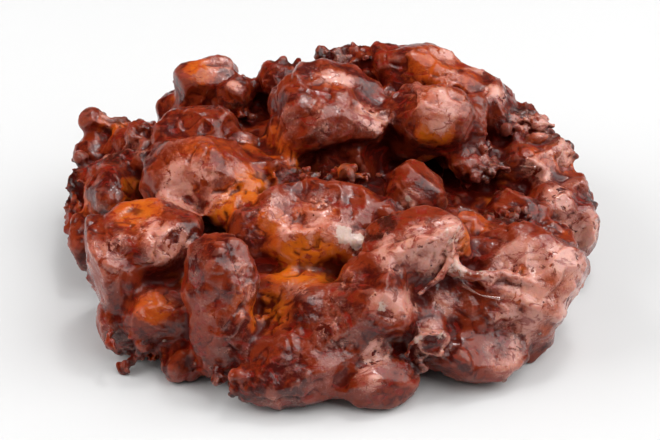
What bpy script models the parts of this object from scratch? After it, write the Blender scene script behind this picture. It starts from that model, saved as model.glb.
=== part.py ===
"""Apple fritter: one fried piece of chopped dough, its lumps grown together into a craggy round.

Metres, +Z up. The origin is the middle of the footprint, on the surface that the fritter rests on.
+X is the right of the round as it is shown, and -Y its front.

The round is a low core with dough lumps all over it. Each lump is a rounded block with its own
lean, sides and uneven skin. Small crags of crisp batter stand in the gaps and along the rim.
All of them are united into one solid, whose lowest lumps are flattened where it rests.
"""

import math
import random
from collections import namedtuple

import bmesh
import bpy
from mathutils import Euler, Matrix, Vector, noise

MM = 0.001

# Driving dimensions
FRITTER_WIDTH = 136 * MM
FRITTER_DEPTH = 124 * MM
FRITTER_HEIGHT = 49 * MM

# Spacing of the facets along a lump's skin
LUMP_FACET = 1.6 * MM
FEWEST_FACETS, MOST_FACETS = 4, 24

# Uneven skin of a lump: broad dents as deep as its own share says, folds with sharp crests, a grain
DENT_SPACING = 13 * MM
FOLD_SPACING = 9 * MM
FOLD_DEPTH = 1.1 * MM
FOLD_CREST = 0.35
GRAIN_SPACING = 4.5 * MM
GRAIN_DEPTH = 0.5 * MM
# How far the pattern moves on per millimetre between two lumps, so that no two look alike
OWN_PATTERN = 0.7

# Flat faces where the dough of a lump was torn: how many, how far out, and how flat
TORN_FACES = 7
TORN_REACH = (0.8, 0.98)
TORN_FLATNESS = 0.85

# A crag among its patch: its share of the spread and of the size, how boxy and how dented it is
CRAG_SCATTER = 0.55
CRAG_SIZES = (0.6, 1.5)
CRAG_BOXY = (2, 3.6)
CRAG_DENTS = 0.25

# The united solid: its grid of cells, its count of triangles, and how near to the floor is on it
SKIN_CELL = 1.0 * MM
SKIN_TRIANGLES = 11300
FLAT_WITHIN = 0.25 * MM
FLOOR_BLOCK = 400 * MM

# Fried dough under a thin glaze, linear colour
CRUST_COLOUR = (0.115, 0.026, 0.012, 1.0)
CRUST_ROUGHNESS = 0.32

SEED = 7

# A dough lump: its middle, its half sizes, its turn about X, Y and Z in degrees, how boxy it is
# (2 is an ellipsoid, 4 is a block with round edges) and how deep its dents are, as a share
Lump = namedtuple("Lump", "name at half turn boxy dents", defaults=((0, 0, 0), 2.4, 0.12))

# A patch of small crags of crisp batter: its middle, how far they spread, how many and how large
Crags = namedtuple("Crags", "name at spread count radius")

TOP_LUMPS = (
    Lump("boulder", (0, 14, 37), (17, 13.5, 10.5), (6, 5, 8), 3.6, 0.1),
    Lump("boulder_left_cheek", (-11, 11, 30), (7, 7, 11), (0, 6, 0), 2.6),
    Lump("boulder_low_face", (0, 15, 25), (15, 12.5, 10), (0, 0, 4), 3.0),
    Lump("boulder_nub", (-10.5, 9, 36), (4, 4, 4.5), (0, 0, 0), 2.4, 0.2),
    Lump("boulder_high_nub", (-12, 18, 38), (4, 4, 4), (0, 0, 0), 2.4, 0.2),
    Lump("dome", (24, 14, 35), (11, 11, 11.5), (0, 10, 0), 2.5),
    Lump("dome_right_fold", (34, 17, 31), (6, 9, 10), (0, 12, 0), 2.6),
    Lump("ridge", (27, 34, 36.5), (17, 10, 8.5), (0, 18, -8), 2.7),
    Lump("ridge_start", (15, 37, 40), (6, 6, 7), (0, 0, 20), 2.6, 0.18),
    Lump("ridge_tail", (40.5, 28, 31.5), (8.5, 9, 9), (0, 25, -20), 2.7),
    Lump("crag_block", (5, 39, 36), (8, 6, 7), (0, 0, 20), 3.0, 0.25),
    Lump("crag_block_horn", (3, 40, 41.5), (2.6, 2.6, 3), (0, 0, 20), 2.6, 0.25),
    Lump("crag_hollow_nub", (15.5, 28, 36), (3.6, 3, 3), (0, 20, 30), 3.0, 0.2),
    Lump("rear_knob", (-33.5, 41, 32), (10, 8, 8.2), (0, -32, 15), 2.8),
    Lump("rear_knob_left", (-37, 38, 25), (6, 6.5, 6), (0, -15, 10), 2.8, 0.15),
    Lump("rear_knob_right", (-26, 36, 29.5), (5.5, 6, 7.5), (0, 22, 0), 2.6),
    Lump("rear_middle_knob", (-13.5, 39, 34), (6.5, 6, 6), (0, 0, 30), 3.0, 0.22),
    Lump("lobe_block", (-34, 13, 31), (12, 9.5, 9), (4, -4, -6), 3.4),
    Lump("lobe", (-31, -3.5, 27.5), (16.5, 12, 12), (6, 6, -10), 2.5),
    Lump("lobe_nose", (-17.5, -2, 26), (11, 8.5, 9), (0, 22, -10), 2.5),
    Lump("lobe_right_wall", (-24, 9, 27), (6, 8, 8), (0, 20, 0), 2.8),
    Lump("small_dome", (21.5, -6, 27), (8.6, 7.5, 7.6), (0, 24, 14), 2.2, 0.08),
    Lump("middle_nub", (34, 6, 27), (4.2, 4, 4.2), (0, 0, 0), 2.4, 0.16),
    Lump("shoulder", (47, 25, 26.5), (9, 9, 8.5), (0, 20, 10), 2.8, 0.16),
    Lump("shoulder_edge", (55, 18, 21.5), (7, 9, 9), (0, 16, 10), 2.8, 0.16),
    Lump("shoulder_inner", (50, 11, 21), (8, 8, 8), (0, 10, 0), 3.0, 0.16),
    Lump("inner_block", (42, 12, 22), (8, 7, 7), (0, 15, 0), 3.0, 0.16),
    Lump("inner_wall", (33, -18, 18), (7, 7, 10), (10, 0, 0), 2.8),
    Lump("inner_nub", (42, -22, 20.5), (7, 6, 6.5), (0, 10, 0), 2.5),
    Lump("inner_shelf", (46, -8, 20), (9, 7, 6), (0, 8, -15), 2.8, 0.16),
)

FRONT_LUMPS = (
    Lump("front_boulder", (-4, -21, 22.5), (19, 12, 12.5), (10, 2, 0), 2.9),
    Lump("front_boulder_left", (-16, -21, 21), (9, 9, 10), (0, -10, 0), 2.6),
    Lump("front_boulder_right", (9, -18, 23), (9, 8, 9), (0, 12, 0), 3.0, 0.14),
    Lump("front_fold", (-9, -35, 14), (12, 8, 7.5), (0, 8, 0), 2.6),
    Lump("left_block", (-42, -25, 24), (13, 12, 8.5), (10, -8, 10), 3.8, 0.07),
    Lump("left_block_side", (-50.5, -27, 16), (8, 13.5, 15.5), (4, -15, 16), 2.8, 0.07),
    Lump("left_block_drip", (-49.5, -36.5, 8), (5.5, 6.5, 7.6), (6, -4, 20), 2.5, 0.1),
    Lump("left_foot", (-38, -39, 9.5), (9, 8, 10), (14, -10, 0), 2.8),
    Lump("left_foot_tip", (-35, -47, 4), (6, 5, 4.5), (0, 0, 30), 2.6, 0.18),
    Lump("finger", (-25, -43.5, 24.5), (8.8, 8, 12), (-10, 4, 0), 2.5, 0.08),
    Lump("finger_shoulder", (-29.5, -44, 22), (5, 6, 6), (0, 0, 0), 2.2, 0.06),
    Lump("finger_end", (-24.5, -47, 12), (8.8, 7.8, 12), (0, -4, 0), 2.6, 0.08),
    Lump("front_low", (-6, -52.5, 8), (21, 9, 8.5), (0, -8, 4), 2.5),
    Lump("sweep", (1, -47, 14.5), (25, 8.5, 9.5), (0, -27, 6), 2.7),
    Lump("sweep_top", (-6, -43, 15), (12, 8, 7), (0, -24, 4), 2.6, 0.16),
    Lump("wing", (19, -34, 25), (14, 9, 12), (14, -16, 16), 3.2, 0.08),
    Lump("wing_left", (10, -39.5, 22), (11, 7, 8.5), (10, -24, 12), 3.0, 0.1),
    Lump("wing_right_edge", (28, -30, 22), (4.5, 6, 11), (0, 0, 0), 2.8, 0.14),
    Lump("round_nub", (21.5, -46, 12.5), (6, 6, 6.5), (0, 0, 0), 2.2, 0.06),
    Lump("front_low_nub", (11, -55, 5.5), (10.5, 6.5, 5.5), (0, 0, 6), 2.5),
    Lump("front_right_low", (32.5, -46, 6.5), (13.5, 8, 7), (0, 4, 10), 3.0, 0.12),
    Lump("right_boulder", (44.5, -31, 16), (14.5, 13, 14), (6, 4, -18), 2.9, 0.08),
    Lump("right_boulder_left", (37, -37, 12.5), (11, 9.5, 12.5), (8, 0, 0), 3.0),
    Lump("right_boulder_back", (50, -20, 13.5), (10, 11, 11), (0, 14, -8), 2.8),
    Lump("right_boulder_foot", (45, -35, 6), (8.5, 8, 6), (0, 0, -30), 2.8, 0.14),
)

SIDE_LUMPS = (
    Lump("ear_tip", (-63, 30, 26.5), (3.6, 3.6, 3.6), (0, 0, 0), 2.2),
    Lump("ear", (-58, 31, 22), (6.5, 5.5, 5.5), (0, 14, -10), 2.4),
    Lump("ear_bulge", (-62.5, 25, 19.5), (5, 6, 5.5), (0, 0, 0), 2.3),
    Lump("ear_root", (-52, 25, 20), (9, 9, 8), (0, -10, 0), 2.6),
    Lump("left_strip", (-61.5, 13, 15.5), (5, 9, 9.5), (0, -6, 8), 2.8, 0.2),
    Lump("left_pip", (-62.5, 4, 12), (3.6, 4, 5), (0, 0, 0), 2.6, 0.25),
    Lump("left_low", (-60, -4, 10), (5.5, 8, 8.5), (0, -6, -6), 2.8, 0.16),
    Lump("left_wall", (-53, 4, 17), (8, 14, 12), (0, -8, 0), 3.0, 0.16),
    Lump("left_ridge", (-54, 8, 23), (3.6, 7, 5.5), (0, 0, -24), 2.6, 0.2),
    Lump("left_crag", (-48, 17, 26), (4.5, 4.5, 7.5), (0, 0, 25), 2.8, 0.3),
    Lump("left_crag_low", (-46, 8, 25), (5, 5, 6), (0, 0, 0), 2.8, 0.3),
    Lump("egg", (58, -4, 18.5), (4.6, 4.6, 6.2), (0, -6, 0), 2.1, 0.04),
    Lump("egg_root", (55, -5, 13), (6, 6, 7), (0, 0, 0), 2.5),
    Lump("right_bulge", (63, -2.5, 14), (4.8, 6.5, 8), (0, -6, 0), 2.4),
    Lump("right_wall", (56, 5, 13), (9, 14, 12), (0, 10, 0), 3.0, 0.16),
    Lump("pip", (66, 8, 16), (1.8, 1.8, 2.1), (0, 0, 0), 2.0, 0.04),
    Lump("pip_stem", (64, 9, 13.5), (2.2, 2.6, 3), (0, 0, 0), 2.2),
)

BACK_LUMPS = (
    Lump("rear_left_block", (-35.5, 44, 18), (13, 11, 13.5), (0, -10, 30), 3.0),
    Lump("rear_left_upper", (-22, 47, 24), (10, 9, 9), (-8, 0, 10), 2.8),
    Lump("rear_middle_block", (-7, 49, 18), (15, 10, 15), (-10, 0, 5), 2.8),
    Lump("rear_right_upper", (12, 46, 28), (11, 9, 11), (-12, 6, -6), 2.7),
    Lump("rear_right_block", (22, 48, 19), (14, 11, 15), (-8, 5, -12), 3.0),
    Lump("rear_right_corner", (43, 38, 16), (13, 11, 13.5), (0, 10, -35), 2.8),
    Lump("rear_right_top", (37, 40, 24.5), (10, 9, 8), (-10, 18, -20), 2.7),
    Lump("rear_finger", (3, 54, 12), (8, 6.5, 12), (8, 15, 0), 2.4),
    Lump("rear_low", (-26, 51, 10), (12, 8, 9), (0, 10, 25), 2.6),
    Lump("rear_corner_low", (50, 30, 10), (9, 10, 9), (0, 0, -30), 2.7),
)

UNDER_LUMPS = (
    Lump("under_middle", (0, 0, 9), (34, 30, 10), (0, 0, 15), 2.4, 0.05),
    Lump("under_left", (-34, 4, 9), (19, 24, 10), (0, 0, 10), 2.6, 0.08),
    Lump("under_right", (34, 2, 9), (20, 26, 10), (0, 0, -12), 2.6, 0.08),
    Lump("under_front", (4, -34, 8), (26, 15, 8.5), (0, 0, 4), 2.6, 0.08),
    Lump("under_back", (0, 34, 9), (30, 17, 10), (0, 0, -6), 2.6, 0.08),
    Lump("under_right_front", (34, -26, 8), (16, 14, 8.5), (0, 0, -20), 2.6, 0.08),
    Lump("under_left_back", (-34, 30, 9.5), (20, 17, 10), (0, 0, -20), 2.6, 0.08),
    Lump("under_left_front", (-26, -26, 9), (20, 18, 9.5), (0, 0, 25), 2.6, 0.08),
    Lump("core", (0, 6, 15), (44, 34, 9), (0, 0, 0), 3.0, 0.1),
    Lump("core_back", (-6, 32, 19), (34, 12, 9), (0, 0, 0), 2.8, 0.12),
)


CRAG_PATCHES = (
    Crags("crag_block", (5, 38, 40), (9, 5, 4), 14, 2.2),
    Crags("rear_middle", (-12, 40, 35), (5, 4, 4), 8, 1.8),
    Crags("knob_gap", (-24, 33, 28), (3, 3, 3), 4, 1.6),
    Crags("left_spikes", (-48, 14, 29), (3.5, 5, 4), 9, 2.0),
    Crags("left_middle", (-54, 8, 24), (4, 6, 4), 8, 2.0),
    Crags("left_strip", (-65, 12, 17), (2, 8, 6), 12, 1.8),
    Crags("left_low", (-64, -1, 11), (2, 6, 4), 7, 1.8),
    Crags("ear", (-59, 32, 23), (5, 4, 4), 6, 1.8),
    Crags("right_edge", (58, 17, 24), (5, 6, 4), 10, 2.0),
    Crags("right_rim", (63, 2, 15), (3, 6, 6), 10, 1.8),
    Crags("shoulder", (50, 21, 30), (7, 6, 3), 10, 2.0),
    Crags("centre", (0, -7, 29), (14, 4, 4), 14, 2.0),
    Crags("dome_foot", (38, 8, 26), (5, 6, 4), 10, 1.8),
    Crags("inner", (43, -17, 22), (6, 5, 4), 8, 2.2),
    Crags("wing_crest", (13, -33, 31), (7, 3, 3), 5, 1.8),
    Crags("front_right", (17, -49, 10), (8, 4, 5), 8, 1.8),
    Crags("right_foot", (35, -45, 5), (9, 4, 4), 7, 2.0),
    Crags("front_rim", (-14, -56, 6), (12, 3, 4), 8, 1.8),
    Crags("left_foot", (-45, -42, 6), (6, 5, 5), 8, 1.8),
    Crags("rear_left", (-32, 52, 22), (12, 5, 9), 16, 2.4),
    Crags("rear", (8, 57, 20), (18, 3, 9), 20, 2.4),
    Crags("rear_right", (42, 47, 20), (10, 6, 8), 14, 2.4),
)


def crags():
    """Every small crag of batter, at its seeded place in its patch."""
    dice = random.Random(SEED)
    small = []
    for patch in CRAG_PATCHES:
        for number in range(patch.count):
            off = [max(-1, min(1, dice.gauss(0, CRAG_SCATTER))) for axis in range(3)]
            at = [c + s * o for c, s, o in zip(patch.at, patch.spread, off)]
            half = [patch.radius * dice.uniform(*CRAG_SIZES) for axis in range(3)]
            turn = [dice.uniform(-180, 180) for axis in range(3)]
            name = f"crag_{patch.name}_{number}"
            small.append(Lump(name, at, half, turn, dice.uniform(*CRAG_BOXY), CRAG_DENTS))
    return tuple(small)


def lumps():
    """Every dough lump and crag of the round."""
    return UNDER_LUMPS + TOP_LUMPS + FRONT_LUMPS + SIDE_LUMPS + BACK_LUMPS + crags()


def block_sphere(facets):
    """A unit sphere made of a cube with facets x facets faces on a side, evenly spread."""
    shape = bmesh.new()
    bmesh.ops.create_cube(shape, size=2)
    bmesh.ops.subdivide_edges(shape, edges=shape.edges[:], cuts=facets - 1, use_grid_fill=True)
    for vertex in shape.verts:
        even = Vector([math.tan(c * math.pi / 4) for c in vertex.co])
        vertex.co = even.normalized()
    return shape


def boxy(direction, power):
    """The direction as a point on a unit block whose edges are rounder the nearer power is to 2."""
    reach = sum(abs(c) ** power for c in direction) ** (1 / power)
    return direction / reach


def torn(point, faces):
    """The point of a unit lump pressed in where it stands out beyond the flat faces."""
    for out, reach in faces:
        beyond = point.dot(out) - reach
        if beyond > 0:
            point = point - out * beyond * TORN_FLATNESS
    return point


def torn_faces(name):
    """The direction and reach of each flat face of the lump with that name."""
    dice = random.Random(name)
    faces = []
    for number in range(TORN_FACES):
        out = Vector([dice.gauss(0, 1) for axis in range(3)]).normalized()
        faces.append((out, dice.uniform(*TORN_REACH)))
    return faces


def unevenness(point, own, dent_depth):
    """How far the skin of a lump stands out at the point. own keeps lumps from looking alike."""
    dent = noise.noise(point / DENT_SPACING + own) * dent_depth * 2
    fold = FOLD_CREST - abs(noise.noise(point / FOLD_SPACING + own * 2)) * 2
    grain = noise.noise(point / GRAIN_SPACING - own)
    share = min(1, dent_depth / MM)
    return dent + (fold * FOLD_DEPTH + grain * GRAIN_DEPTH) * share


def lump_mesh(lump):
    """The lump as a mesh in metres, in place."""
    half = Vector(lump.half) * MM
    facets = round(2 * max(half) / LUMP_FACET)
    shape = block_sphere(min(max(facets, FEWEST_FACETS), MOST_FACETS))
    own = Vector(lump.at) * OWN_PATTERN
    faces = torn_faces(lump.name)
    turn = Euler([math.radians(a) for a in lump.turn]).to_matrix()
    for vertex in shape.verts:
        out = vertex.co.copy()
        point = torn(boxy(out, lump.boxy), faces)
        point = Vector([c * h for c, h in zip(point, half)])
        point += out * unevenness(point, own, lump.dents * min(half))
        vertex.co = turn @ point + Vector(lump.at) * MM
    mesh = bpy.data.meshes.new(lump.name)
    shape.to_mesh(mesh)
    shape.free()
    return mesh


def add_lumps(collection):
    """Adds every lump to the collection as its own object."""
    for lump in lumps():
        mesh = lump_mesh(lump)
        collection.objects.link(bpy.data.objects.new(lump.name, mesh))


def clear_scene():
    for old in list(bpy.data.objects):
        bpy.data.objects.remove(old)


def apply_modifiers(thing):
    """Makes what the object's modifiers show its own mesh."""
    view = bpy.context.evaluated_depsgraph_get()
    shown = bpy.data.meshes.new_from_object(thing.evaluated_get(view))
    thing.modifiers.clear()
    thing.data = shown


def unite(thing, collection):
    """Unites the collection's lumps with the object into one solid, and removes them."""
    union = thing.modifiers.new("union", "BOOLEAN")
    union.operation = "UNION"
    union.operand_type = "COLLECTION"
    union.collection = collection
    union.solver = "MANIFOLD"
    apply_modifiers(thing)
    for lump in list(collection.objects):
        bpy.data.objects.remove(lump)
    bpy.data.collections.remove(collection)


def flatten_base(thing):
    """Cuts away what hangs below the floor, so the lowest lumps end in flat feet."""
    shape = bmesh.new()
    down = Matrix.Translation((0, 0, -FLOOR_BLOCK / 2))
    bmesh.ops.create_cube(shape, size=FLOOR_BLOCK, matrix=down)
    mesh = bpy.data.meshes.new("below_floor")
    shape.to_mesh(mesh)
    shape.free()
    below = bpy.data.objects.new("below_floor", mesh)
    bpy.context.scene.collection.objects.link(below)
    cut = thing.modifiers.new("flat_base", "BOOLEAN")
    cut.operation = "DIFFERENCE"
    cut.object = below
    cut.solver = "EXACT"
    apply_modifiers(thing)
    bpy.data.objects.remove(below)


def regrid(thing):
    """Gives the solid an even skin without inner walls."""
    skin = thing.modifiers.new("skin", "REMESH")
    skin.mode = "VOXEL"
    skin.voxel_size = SKIN_CELL
    apply_modifiers(thing)


def keep_outer_shell(thing):
    """Drops loose scraps and fills sealed hollows: only the largest shell stays."""
    shape = bmesh.new()
    shape.from_mesh(thing.data)
    unseen = set(shape.verts)
    shells = []
    while unseen:
        front = [unseen.pop()]
        shell = list(front)
        while front:
            for edge in front.pop().link_edges:
                for vertex in edge.verts:
                    if vertex in unseen:
                        unseen.remove(vertex)
                        front.append(vertex)
                        shell.append(vertex)
        shells.append(shell)
    shells.sort(key=len)
    scraps = [vertex for shell in shells[:-1] for vertex in shell]
    bmesh.ops.delete(shape, geom=scraps, context="VERTS")
    shape.to_mesh(thing.data)
    shape.free()


def thin_out(thing):
    """Brings the solid to its count of triangles, fine on the crags and coarse on the flats."""
    shape = bmesh.new()
    shape.from_mesh(thing.data)
    bmesh.ops.triangulate(shape, faces=shape.faces[:])
    shape.to_mesh(thing.data)
    shape.free()
    thin = thing.modifiers.new("thin", "DECIMATE")
    thin.ratio = min(1, SKIN_TRIANGLES / len(thing.data.polygons))
    thin.use_collapse_triangulate = True
    apply_modifiers(thing)


def fit_to_size(thing):
    """Stretches the solid to the driving sizes, stands it on the floor and centres it."""
    places = [vertex.co for vertex in thing.data.vertices]
    low = Vector([min(p[axis] for p in places) for axis in range(3)])
    high = Vector([max(p[axis] for p in places) for axis in range(3)])
    size = Vector((FRITTER_WIDTH, FRITTER_DEPTH, FRITTER_HEIGHT))
    middle = Vector(((low.x + high.x) / 2, (low.y + high.y) / 2, low.z))
    for vertex in thing.data.vertices:
        place = vertex.co - middle
        place = Vector([p * s / (h - l) for p, s, h, l in zip(place, size, high, low)])
        if place.z < FLAT_WITHIN:
            place.z = 0
        vertex.co = place


def crust_material():
    crust = bpy.data.materials.new("fried_crust")
    crust.use_nodes = True
    shader = crust.node_tree.nodes["Principled BSDF"]
    shader.inputs["Base Color"].default_value = CRUST_COLOUR
    shader.inputs["Roughness"].default_value = CRUST_ROUGHNESS
    shader.inputs["Metallic"].default_value = 0.0
    return crust


def main():
    clear_scene()
    scene = bpy.context.scene.collection
    collection = bpy.data.collections.new("lumps")
    scene.children.link(collection)
    add_lumps(collection)
    middle = collection.objects["under_middle"]
    fritter = bpy.data.objects.new("fritter", middle.data.copy())
    fritter.data.name = "fritter"
    scene.objects.link(fritter)
    bpy.data.objects.remove(middle)
    unite(fritter, collection)
    flatten_base(fritter)
    regrid(fritter)
    keep_outer_shell(fritter)
    thin_out(fritter)
    fit_to_size(fritter)
    fritter.data.materials.clear()
    fritter.data.materials.append(crust_material())


if __name__ == "__main__":
    main()
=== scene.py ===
"""Looks of the apple fritter: a glazed fried crust, on a plain pale floor in soft studio light.

Metres, +Z up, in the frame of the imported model. The table of dough lumps is in millimetres.
"""

import math
import random
from collections import namedtuple
from itertools import product

import bmesh
import bpy
import numpy as np
from mathutils import Euler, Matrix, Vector, noise
from mathutils.bvhtree import BVHTree


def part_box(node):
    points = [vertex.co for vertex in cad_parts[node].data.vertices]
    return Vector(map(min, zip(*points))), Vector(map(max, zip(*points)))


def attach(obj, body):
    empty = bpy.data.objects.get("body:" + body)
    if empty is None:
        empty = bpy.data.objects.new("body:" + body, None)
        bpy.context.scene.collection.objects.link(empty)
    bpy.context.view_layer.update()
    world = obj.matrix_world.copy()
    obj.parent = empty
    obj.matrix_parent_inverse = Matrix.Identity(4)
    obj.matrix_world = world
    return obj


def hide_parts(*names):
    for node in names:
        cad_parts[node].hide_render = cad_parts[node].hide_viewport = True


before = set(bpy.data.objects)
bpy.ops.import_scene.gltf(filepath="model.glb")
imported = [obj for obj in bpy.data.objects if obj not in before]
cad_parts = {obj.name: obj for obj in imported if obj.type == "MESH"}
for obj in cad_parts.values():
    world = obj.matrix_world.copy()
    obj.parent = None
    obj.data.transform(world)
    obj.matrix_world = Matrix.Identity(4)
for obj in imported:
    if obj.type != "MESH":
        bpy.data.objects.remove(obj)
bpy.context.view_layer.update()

bl_info = {
    "name": "Apple fritter",
    "version": (1, 0, 0),
    "blender": (4, 5, 0),
    "location": "3D View > Sidebar > Fritter",
    "description": "Builds the glazed crust, the glaze on it and the studio of an apple fritter",
    "category": "Object",
}

NODE = "fritter"
NODE_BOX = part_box(NODE)
MM = 0.001

# Uneven skin of a lump: broad dents as deep as its own share says, folds with sharp crests and a grain.
# The last value times the lump's place shifts them, so that each lump has a pattern of its own
DENT_SPACING = 13 * MM
FOLD_SPACING = 9 * MM
FOLD_DEPTH = 1.1 * MM
FOLD_CREST = 0.35
GRAIN_SPACING = 4.5 * MM
GRAIN_DEPTH = 0.5 * MM
OWN_PATTERN = 0.7

# A crag among its patch: its share of the spread and of the size, how boxy and how dented it is
CRAG_SCATTER = 0.55
CRAG_SIZES = (0.6, 1.5)
CRAG_BOXY = (2, 3.6)
CRAG_DENTS = 0.25
SEED = 7


# A dough lump: its middle, its half sizes, its turn about X, Y and Z in degrees, how boxy it is
# (2 is an ellipsoid, 4 is a block with round edges) and how deep its dents are, as a share
Lump = namedtuple("Lump", "name at half turn boxy dents", defaults=((0, 0, 0), 2.4, 0.12))

# A patch of small crags of crisp batter: its middle, how far they spread, how many and how large
Crags = namedtuple("Crags", "name at spread count radius")

TOP_LUMPS = (
    Lump("boulder", (0, 14, 37), (17, 13.5, 10.5), (6, 5, 8), 3.6, 0.1),
    Lump("boulder_left_cheek", (-11, 11, 30), (7, 7, 11), (0, 6, 0), 2.6),
    Lump("boulder_low_face", (0, 15, 25), (15, 12.5, 10), (0, 0, 4), 3.0),
    Lump("boulder_nub", (-10.5, 9, 36), (4, 4, 4.5), (0, 0, 0), 2.4, 0.2),
    Lump("boulder_high_nub", (-12, 18, 38), (4, 4, 4), (0, 0, 0), 2.4, 0.2),
    Lump("dome", (24, 14, 35), (11, 11, 11.5), (0, 10, 0), 2.5),
    Lump("dome_right_fold", (34, 17, 31), (6, 9, 10), (0, 12, 0), 2.6),
    Lump("ridge", (27, 34, 36.5), (17, 10, 8.5), (0, 18, -8), 2.7),
    Lump("ridge_start", (15, 37, 40), (6, 6, 7), (0, 0, 20), 2.6, 0.18),
    Lump("ridge_tail", (40.5, 28, 31.5), (8.5, 9, 9), (0, 25, -20), 2.7),
    Lump("crag_block", (5, 39, 36), (8, 6, 7), (0, 0, 20), 3.0, 0.25),
    Lump("crag_block_horn", (3, 40, 41.5), (2.6, 2.6, 3), (0, 0, 20), 2.6, 0.25),
    Lump("crag_hollow_nub", (15.5, 28, 36), (3.6, 3, 3), (0, 20, 30), 3.0, 0.2),
    Lump("rear_knob", (-33.5, 41, 32), (10, 8, 8.2), (0, -32, 15), 2.8),
    Lump("rear_knob_left", (-37, 38, 25), (6, 6.5, 6), (0, -15, 10), 2.8, 0.15),
    Lump("rear_knob_right", (-26, 36, 29.5), (5.5, 6, 7.5), (0, 22, 0), 2.6),
    Lump("rear_middle_knob", (-13.5, 39, 34), (6.5, 6, 6), (0, 0, 30), 3.0, 0.22),
    Lump("lobe_block", (-34, 13, 31), (12, 9.5, 9), (4, -4, -6), 3.4),
    Lump("lobe", (-31, -3.5, 27.5), (16.5, 12, 12), (6, 6, -10), 2.5),
    Lump("lobe_nose", (-17.5, -2, 26), (11, 8.5, 9), (0, 22, -10), 2.5),
    Lump("lobe_right_wall", (-24, 9, 27), (6, 8, 8), (0, 20, 0), 2.8),
    Lump("small_dome", (21.5, -6, 27), (8.6, 7.5, 7.6), (0, 24, 14), 2.2, 0.08),
    Lump("middle_nub", (34, 6, 27), (4.2, 4, 4.2), (0, 0, 0), 2.4, 0.16),
    Lump("shoulder", (47, 25, 26.5), (9, 9, 8.5), (0, 20, 10), 2.8, 0.16),
    Lump("shoulder_edge", (55, 18, 21.5), (7, 9, 9), (0, 16, 10), 2.8, 0.16),
    Lump("shoulder_inner", (50, 11, 21), (8, 8, 8), (0, 10, 0), 3.0, 0.16),
    Lump("inner_block", (42, 12, 22), (8, 7, 7), (0, 15, 0), 3.0, 0.16),
    Lump("inner_wall", (33, -18, 18), (7, 7, 10), (10, 0, 0), 2.8),
    Lump("inner_nub", (42, -22, 20.5), (7, 6, 6.5), (0, 10, 0), 2.5),
    Lump("inner_shelf", (46, -8, 20), (9, 7, 6), (0, 8, -15), 2.8, 0.16),
)

FRONT_LUMPS = (
    Lump("front_boulder", (-4, -21, 22.5), (19, 12, 12.5), (10, 2, 0), 2.9),
    Lump("front_boulder_left", (-16, -21, 21), (9, 9, 10), (0, -10, 0), 2.6),
    Lump("front_boulder_right", (9, -18, 23), (9, 8, 9), (0, 12, 0), 3.0, 0.14),
    Lump("front_fold", (-9, -35, 14), (12, 8, 7.5), (0, 8, 0), 2.6),
    Lump("left_block", (-42, -25, 24), (13, 12, 8.5), (10, -8, 10), 3.8, 0.07),
    Lump("left_block_side", (-50.5, -27, 16), (8, 13.5, 15.5), (4, -15, 16), 2.8, 0.07),
    Lump("left_block_drip", (-49.5, -36.5, 8), (5.5, 6.5, 7.6), (6, -4, 20), 2.5, 0.1),
    Lump("left_foot", (-38, -39, 9.5), (9, 8, 10), (14, -10, 0), 2.8),
    Lump("left_foot_tip", (-35, -47, 4), (6, 5, 4.5), (0, 0, 30), 2.6, 0.18),
    Lump("finger", (-25, -43.5, 24.5), (8.8, 8, 12), (-10, 4, 0), 2.5, 0.08),
    Lump("finger_shoulder", (-29.5, -44, 22), (5, 6, 6), (0, 0, 0), 2.2, 0.06),
    Lump("finger_end", (-24.5, -47, 12), (8.8, 7.8, 12), (0, -4, 0), 2.6, 0.08),
    Lump("front_low", (-6, -52.5, 8), (21, 9, 8.5), (0, -8, 4), 2.5),
    Lump("sweep", (1, -47, 14.5), (25, 8.5, 9.5), (0, -27, 6), 2.7),
    Lump("sweep_top", (-6, -43, 15), (12, 8, 7), (0, -24, 4), 2.6, 0.16),
    Lump("wing", (19, -34, 25), (14, 9, 12), (14, -16, 16), 3.2, 0.08),
    Lump("wing_left", (10, -39.5, 22), (11, 7, 8.5), (10, -24, 12), 3.0, 0.1),
    Lump("wing_right_edge", (28, -30, 22), (4.5, 6, 11), (0, 0, 0), 2.8, 0.14),
    Lump("round_nub", (21.5, -46, 12.5), (6, 6, 6.5), (0, 0, 0), 2.2, 0.06),
    Lump("front_low_nub", (11, -55, 5.5), (10.5, 6.5, 5.5), (0, 0, 6), 2.5),
    Lump("front_right_low", (32.5, -46, 6.5), (13.5, 8, 7), (0, 4, 10), 3.0, 0.12),
    Lump("right_boulder", (44.5, -31, 16), (14.5, 13, 14), (6, 4, -18), 2.9, 0.08),
    Lump("right_boulder_left", (37, -37, 12.5), (11, 9.5, 12.5), (8, 0, 0), 3.0),
    Lump("right_boulder_back", (50, -20, 13.5), (10, 11, 11), (0, 14, -8), 2.8),
    Lump("right_boulder_foot", (45, -35, 6), (8.5, 8, 6), (0, 0, -30), 2.8, 0.14),
)

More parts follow.
